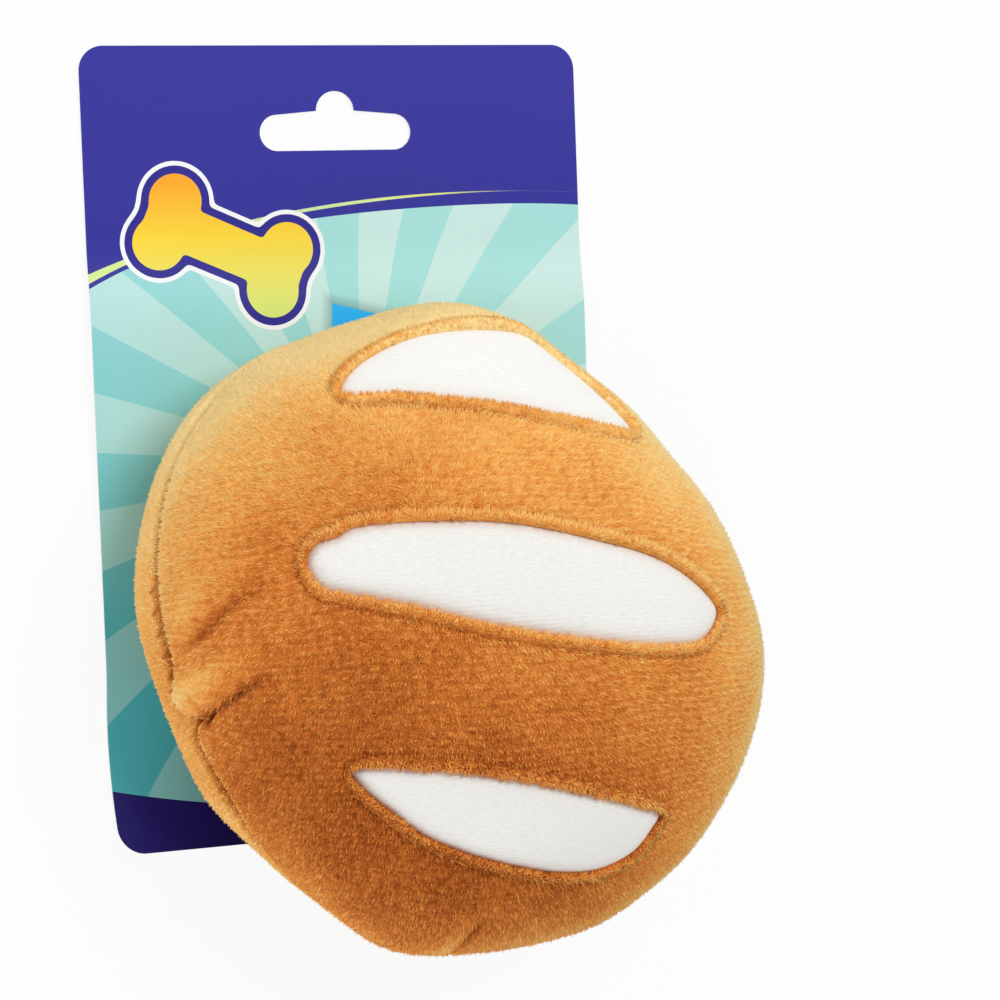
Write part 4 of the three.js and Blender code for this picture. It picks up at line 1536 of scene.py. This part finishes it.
def badge(nodes, x, y, colour):
    """A plain bone with a dark and a white outline, printed over a colour."""
    c, s = math.cos(BADGE_TURN), math.sin(BADGE_TURN)
    dx, dy = nodes.away(x, y, BADGE_PLACE)
    along, across = nodes.along(dx, dy, (c, s)), nodes.along(dy, dx, (c, -s))
    past = nodes.math("SUBTRACT", nodes.math("ABSOLUTE", along), BONE_HALF)
    beside = nodes.math("SUBTRACT", nodes.math("ABSOLUTE", across), BONE_SPREAD)
    shaft = nodes.math("SUBTRACT", nodes.length(nodes.math("MAXIMUM", past, 0.0), across), BONE_SHAFT)
    knob = nodes.math("SUBTRACT", nodes.length(past, beside), BONE_KNOB)
    edge = nodes.math("SMOOTH_MIN", shaft, knob, BONE_BLEND)
    yellow = nodes.ramp(nodes.add(0.5, dy, BADGE_FADE), [
        (0.1, srgb(216, 232, 120)), (0.55, srgb(250, 216, 60)), (0.9, srgb(250, 168, 40)),
    ])
    layers = ((BADGE_WHITE, srgb(244, 246, 248)), (BADGE_DARK, srgb(46, 40, 140)), (0.0, yellow))
    for reach, tint in layers:
        colour = nodes.mix(nodes.math("LESS_THAN", edge, reach), colour, tint)
    return colour


def blue_panel(nodes, x, y, colour):
    """A plain slanting panel with a soft dark edge, printed where the toy covers most of it."""
    dx, dy = nodes.away(x, y, BLUE_CORNER)
    outside = None
    for way, size in zip((BLUE_ALONG, BLUE_DOWN), BLUE_SIZE):
        place = nodes.along(dx, dy, way)
        before = nodes.math("MULTIPLY", place, -1.0)
        past = nodes.math("MAXIMUM", before, nodes.math("SUBTRACT", place, size))
        outside = nodes.math("MAXIMUM", outside, past) if outside else past
    shadow = nodes.add(BLUE_SHADOW, outside, -BLUE_SHADOW / BLUE_SOFT, clamp=True)
    colour = nodes.mix(shadow, colour, srgb(52, 110, 112))
    return nodes.mix(nodes.math("LESS_THAN", outside, 0.0), colour, srgb(40, 178, 250))


def header_print(nodes, x, y, colour):
    """The navy header with its curved lower edge, and the thin line that fades into it."""
    edge, low, high = (
        nodes.polynomial(x, [float(v) for v in np.polyfit(PRINT_X, curve, LINE_DEGREE)])
        for curve in (HEADER_EDGE, LINE_LOW, LINE_HIGH)
    )
    colour = nodes.mix(nodes.math("GREATER_THAN", y, edge), colour, NAVY)
    line = nodes.math("MULTIPLY", nodes.math("GREATER_THAN", y, low), nodes.math("LESS_THAN", y, high))
    fade = nodes.ramp(nodes.add(0.5, x, LINE_FADE), [
        (0.0, srgb(214, 234, 150)), (0.45, srgb(205, 232, 172)), (0.7, srgb(226, 232, 130)), (1.0, NAVY),
    ])
    return nodes.mix(line, colour, fade)


def sunburst(nodes, x, y):
    """Teal and pale rays, both deeper towards the lower left: the print's own gradient with painted shade
    where the toy's shadow falls.
    """
    dx, dy = nodes.away(x, y, RAY_CENTRE)
    angle = nodes.math("ARCTAN2", nodes.math("DIVIDE", dy, RAY_STRETCH), dx)
    angle = nodes.math("DIVIDE", angle, TURN)
    share = nodes.math("FRACT", nodes.add(RAY_TURN, angle, RAY_COUNT))
    depth = nodes.add(nodes.add(RAY_DEPTH, y, RAY_DEEPEN_AND_SHADE), x, RAY_DEEPEN_AND_SHADE, clamp=True)
    depth = nodes.math("POWER", depth, 2.0)
    teal = nodes.mix(depth, srgb(168, 225, 222), srgb(76, 184, 194))
    pale = nodes.mix(depth, srgb(202, 234, 230), srgb(134, 207, 207))
    return nodes.mix(nodes.math("LESS_THAN", share, 0.5), teal, pale)


def printed_card(name):
    nodes = Nodes(name)
    x, y = (nodes.math("MULTIPLY", value, 1 / PATTERN_UNIT) for value in nodes.split(nodes.pattern()))
    colour = header_print(nodes, x, y, sunburst(nodes, x, y))
    foot = nodes.math("LESS_THAN", y, nodes.polynomial(x, FOOT_EDGE))
    # The foot is printed navy, darker than the header's NAVY: painted shade of the toy's shadow over the same
    # ink
    colour = nodes.mix(foot, colour, srgb(31, 26, 108))
    colour = blue_panel(nodes, x, y, colour)
    colour = badge(nodes, x, y, colour)
    grain = nodes.noise(nodes.pattern(), Scale=90.0, Detail=2.0)
    nodes.bump(grain, strength=0.08, distance=0.0002)
    rough = nodes.vary(CARD_GLOSS, grain, GRAIN_GLOSS)
    return nodes.surface(colour, Roughness=rough, Specular_IOR_Level=0.12)


def sewing_thread(name):
    """Two-ply thread: slanting ridges along the length."""
    nodes = Nodes(name)
    along, around = nodes.split(nodes.pattern())
    slant = nodes.add(along, around, THREAD_SLANT)
    ply = nodes.math("SINE", nodes.math("MULTIPLY", slant, TURN / PATTERN_UNIT / THREAD_PLY))
    colour = nodes.ramp(nodes.add(0.5, ply, 0.5), [(0.0, srgb(172, 96, 36)), (1.0, srgb(228, 154, 74))])
    nodes.bump(ply, strength=0.6, distance=0.0001)
    return nodes.surface(colour, Roughness=0.75, Specular_IOR_Level=0.2)


def fibre_fill(name):
    """Loose polyester fibre: tangled fine strands."""
    nodes = Nodes(name)
    place = nodes.node("ShaderNodeTexCoord").outputs["Object"]
    tangle = nodes.noise(place, Scale=420.0, Detail=5.0, Distortion=2.5)
    colour = nodes.ramp(tangle, [(0.3, srgb(214, 212, 204)), (0.7, srgb(250, 249, 245))])
    nodes.bump(tangle, strength=0.9, distance=0.0012)
    return nodes.surface(colour, Roughness=0.95, Specular_IOR_Level=0.1, Sheen_Weight=0.4)


def moulded(name, colour, roughness):
    """Moulded plastic: faint flow marks and a fine satin face."""
    nodes = Nodes(name)
    place = nodes.node("ShaderNodeTexCoord").outputs["Object"]
    flow = nodes.noise(place, Scale=180.0, Detail=2.0)
    satin = nodes.noise(place, Scale=2400.0, Detail=1.0)
    darker = tuple(FLOW_DARKER * value for value in colour)
    nodes.bump(satin, strength=0.06, distance=0.0001)
    rough = nodes.vary(roughness, flow, FLOW_GLOSS)
    return nodes.surface(
        nodes.ramp(flow, [(0.3, darker), (0.7, colour)]), Roughness=rough, Specular_IOR_Level=0.5,
    )


def board(name):
    """Plain pale board: fine fibres."""
    nodes = Nodes(name)
    fibre = nodes.noise(nodes.pattern(), Scale=160.0, Detail=3.0)
    colour = nodes.ramp(fibre, [(0.3, srgb(228, 228, 226)), (0.7, srgb(246, 246, 244))])
    nodes.bump(fibre, strength=0.1, distance=0.0002)
    return nodes.surface(colour, Roughness=0.7, Specular_IOR_Level=0.3)


# Pieces

def paint(node, material):
    """Gives a CAD node that stays its material."""
    target = frame["nodes"][node]
    for place in target.material_slots:
        place.material = material
    if not target.material_slots:
        target.data.materials.append(material)


def dress(piece, body, slot, *nodes, pressed=True):
    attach(piece, body)
    if nodes:
        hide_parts(*nodes)
    if pressed:
        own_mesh(piece)
    return piece


swell()

brown = plush("brown_plush")
white = white_plush("white_plush")
thread = sewing_thread("brown_thread")
fibre = fibre_fill("fibre_fill")

front = dress(panel("front_panel_plush", 1, WINDOWS.values(), brown), "front", "plush", "front_panel")
back = dress(panel("back_panel_plush", -1, [], brown), "toy", "plush", "back_panel")
fibres = strands("brown_pile")
dress(pile_of("front_pile_upper", 1, WINDOWS.values(), fibres, low=PILE_SPLIT), "front", "plush")
dress(pile_of("front_pile_lower", 1, WINDOWS.values(), fibres, high=PILE_SPLIT), "front", "plush")
dress(pile_of("back_pile", -1, [], fibres), "toy", "plush")
for place, corners in WINDOWS.items():
    dress(inset(f"inset_{place}_plush", corners, white), "front", "white_plush", f"inset_{place}")
    loop, steps = window_loop(corners)
    line = loop + steps * WINDOW_STITCH_OUT
    sewn = sewn_line(f"window_stitch_{place}_thread", line, WINDOW_STITCH_HEIGHT, WINDOW_STITCH, thread)
    dress(sewn, "front", "thread", f"window_stitch_{place}")

seam = sewn_line("rim_seam_stitches", seam_loop(1), SEAM_STITCH_HEIGHT, SEAM_STITCH, thread)
dress(seam, "toy", "thread", "rim_seam_thread")
dress(closing_ladder("closing_ladder_stitch", thread), "toy", "thread", "closing_stitch")

front_wad = dress(wadding("front_wadding", 1, fibre), "front", "wadding", "front_stuffing")
back_wad = dress(wadding("back_wadding", -1, fibre), "toy", "wadding", "back_stuffing")

vinyl = moulded("squeaker_vinyl", srgb(226, 230, 226), roughness=0.42)
bulb = dress(bladder("squeaker_bulb", vinyl), "toy", "squeaker", "squeaker_bladder", pressed=False)
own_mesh(bulb)

whistle = moulded("whistle_plastic", srgb(236, 238, 236), roughness=0.36)
for node in ("whistle_sleeve", "reed_seat", "reed_wedge"):
    paint(node, whistle)
paint("reed", moulded("reed_film", srgb(214, 222, 224), roughness=0.24))
nylon = moulded("pin_nylon", srgb(232, 234, 232), roughness=0.3)
for node in ("tag_pin_left", "tag_pin_right"):
    paint(node, nylon)

sheet = card("hang_card_printed", printed_card("printed_card"), board("card_board"))
dress(sheet, "card", "card", "hang_card", pressed=False)


# Camera, floor and light

def camera():
    data = bpy.data.cameras.new("camera")
    data.lens = CAMERA_LENS
    data.sensor_width = CAMERA_SENSOR
    data.clip_start, data.clip_end = CAMERA_CLIP
    made = add_object("camera", data)
    axes = Matrix((CAMERA_RIGHT, CAMERA_UP, CAMERA_BACK)).transposed().to_4x4()
    made.matrix_world = Matrix.Translation(CAMERA_PLACE) @ axes
    bpy.context.scene.camera = made


def area_light(name, place, size, power):
    data = bpy.data.lights.new(name, "AREA")
    data.shape = "DISK"
    data.size = size
    data.energy = power
    made = add_object(name, data)
    made.location = place
    made.rotation_mode = "QUATERNION"
    made.rotation_quaternion = (LIGHT_AIM - Vector(place)).to_track_quat("-Z", "Y")


def looked_at(tree):
    """1 where the camera, a reflection or a see-through surface looks, and 0 for other light."""
    path = tree.node("ShaderNodeLightPath").outputs
    other = tree.math("MAXIMUM", path["Is Glossy Ray"], path["Is Transmission Ray"])
    return tree.math("MAXIMUM", path["Is Camera Ray"], other)


def floor():
    """A pale floor that looks nearly white and keeps the object's shadow."""
    mesh = bpy.data.meshes.new("floor")
    corners = [(-1, -1), (1, -1), (1, 1), (-1, 1)]
    points = [(x * FLOOR_REACH, y * FLOOR_REACH, FLOOR_LEVEL) for x, y in corners]
    mesh.from_pydata(points, [], [(0, 1, 2, 3)])
    nodes = Nodes("floor")
    nodes.tree.nodes.remove(nodes.shader)
    mix = nodes.node("ShaderNodeMixShader", {
        0: nodes.math("MULTIPLY", looked_at(nodes), FLOOR_GLOW),
        1: nodes.node("ShaderNodeBsdfDiffuse", {"Color": FLOOR_COLOUR}).outputs[0],
        2: nodes.node("ShaderNodeEmission").outputs[0],
    })
    nodes.link(mix.outputs[0], nodes.tree.nodes["Material Output"].inputs["Surface"])
    mesh.materials.append(nodes.material)
    add_object("floor", mesh)


def world():
    """Even white light, seen as white by the camera."""
    made = bpy.data.worlds.new("world")
    bpy.context.scene.world = made
    made.use_nodes = True
    tree = Tree(made.node_tree)
    background = made.node_tree.nodes["Background"]
    level = tree.node("ShaderNodeMapRange", {"Value": looked_at(tree), "To Min": WORLD_STRENGTH})
    tree.link((1, 1, 1, 1), background.inputs["Color"])
    tree.link(level.outputs[0], background.inputs["Strength"])


camera()
floor()
world()
for name, (place, size, power) in LIGHTS.items():
    area_light(name, place, size, power)
bpy.context.scene.view_settings.view_transform = "Standard"
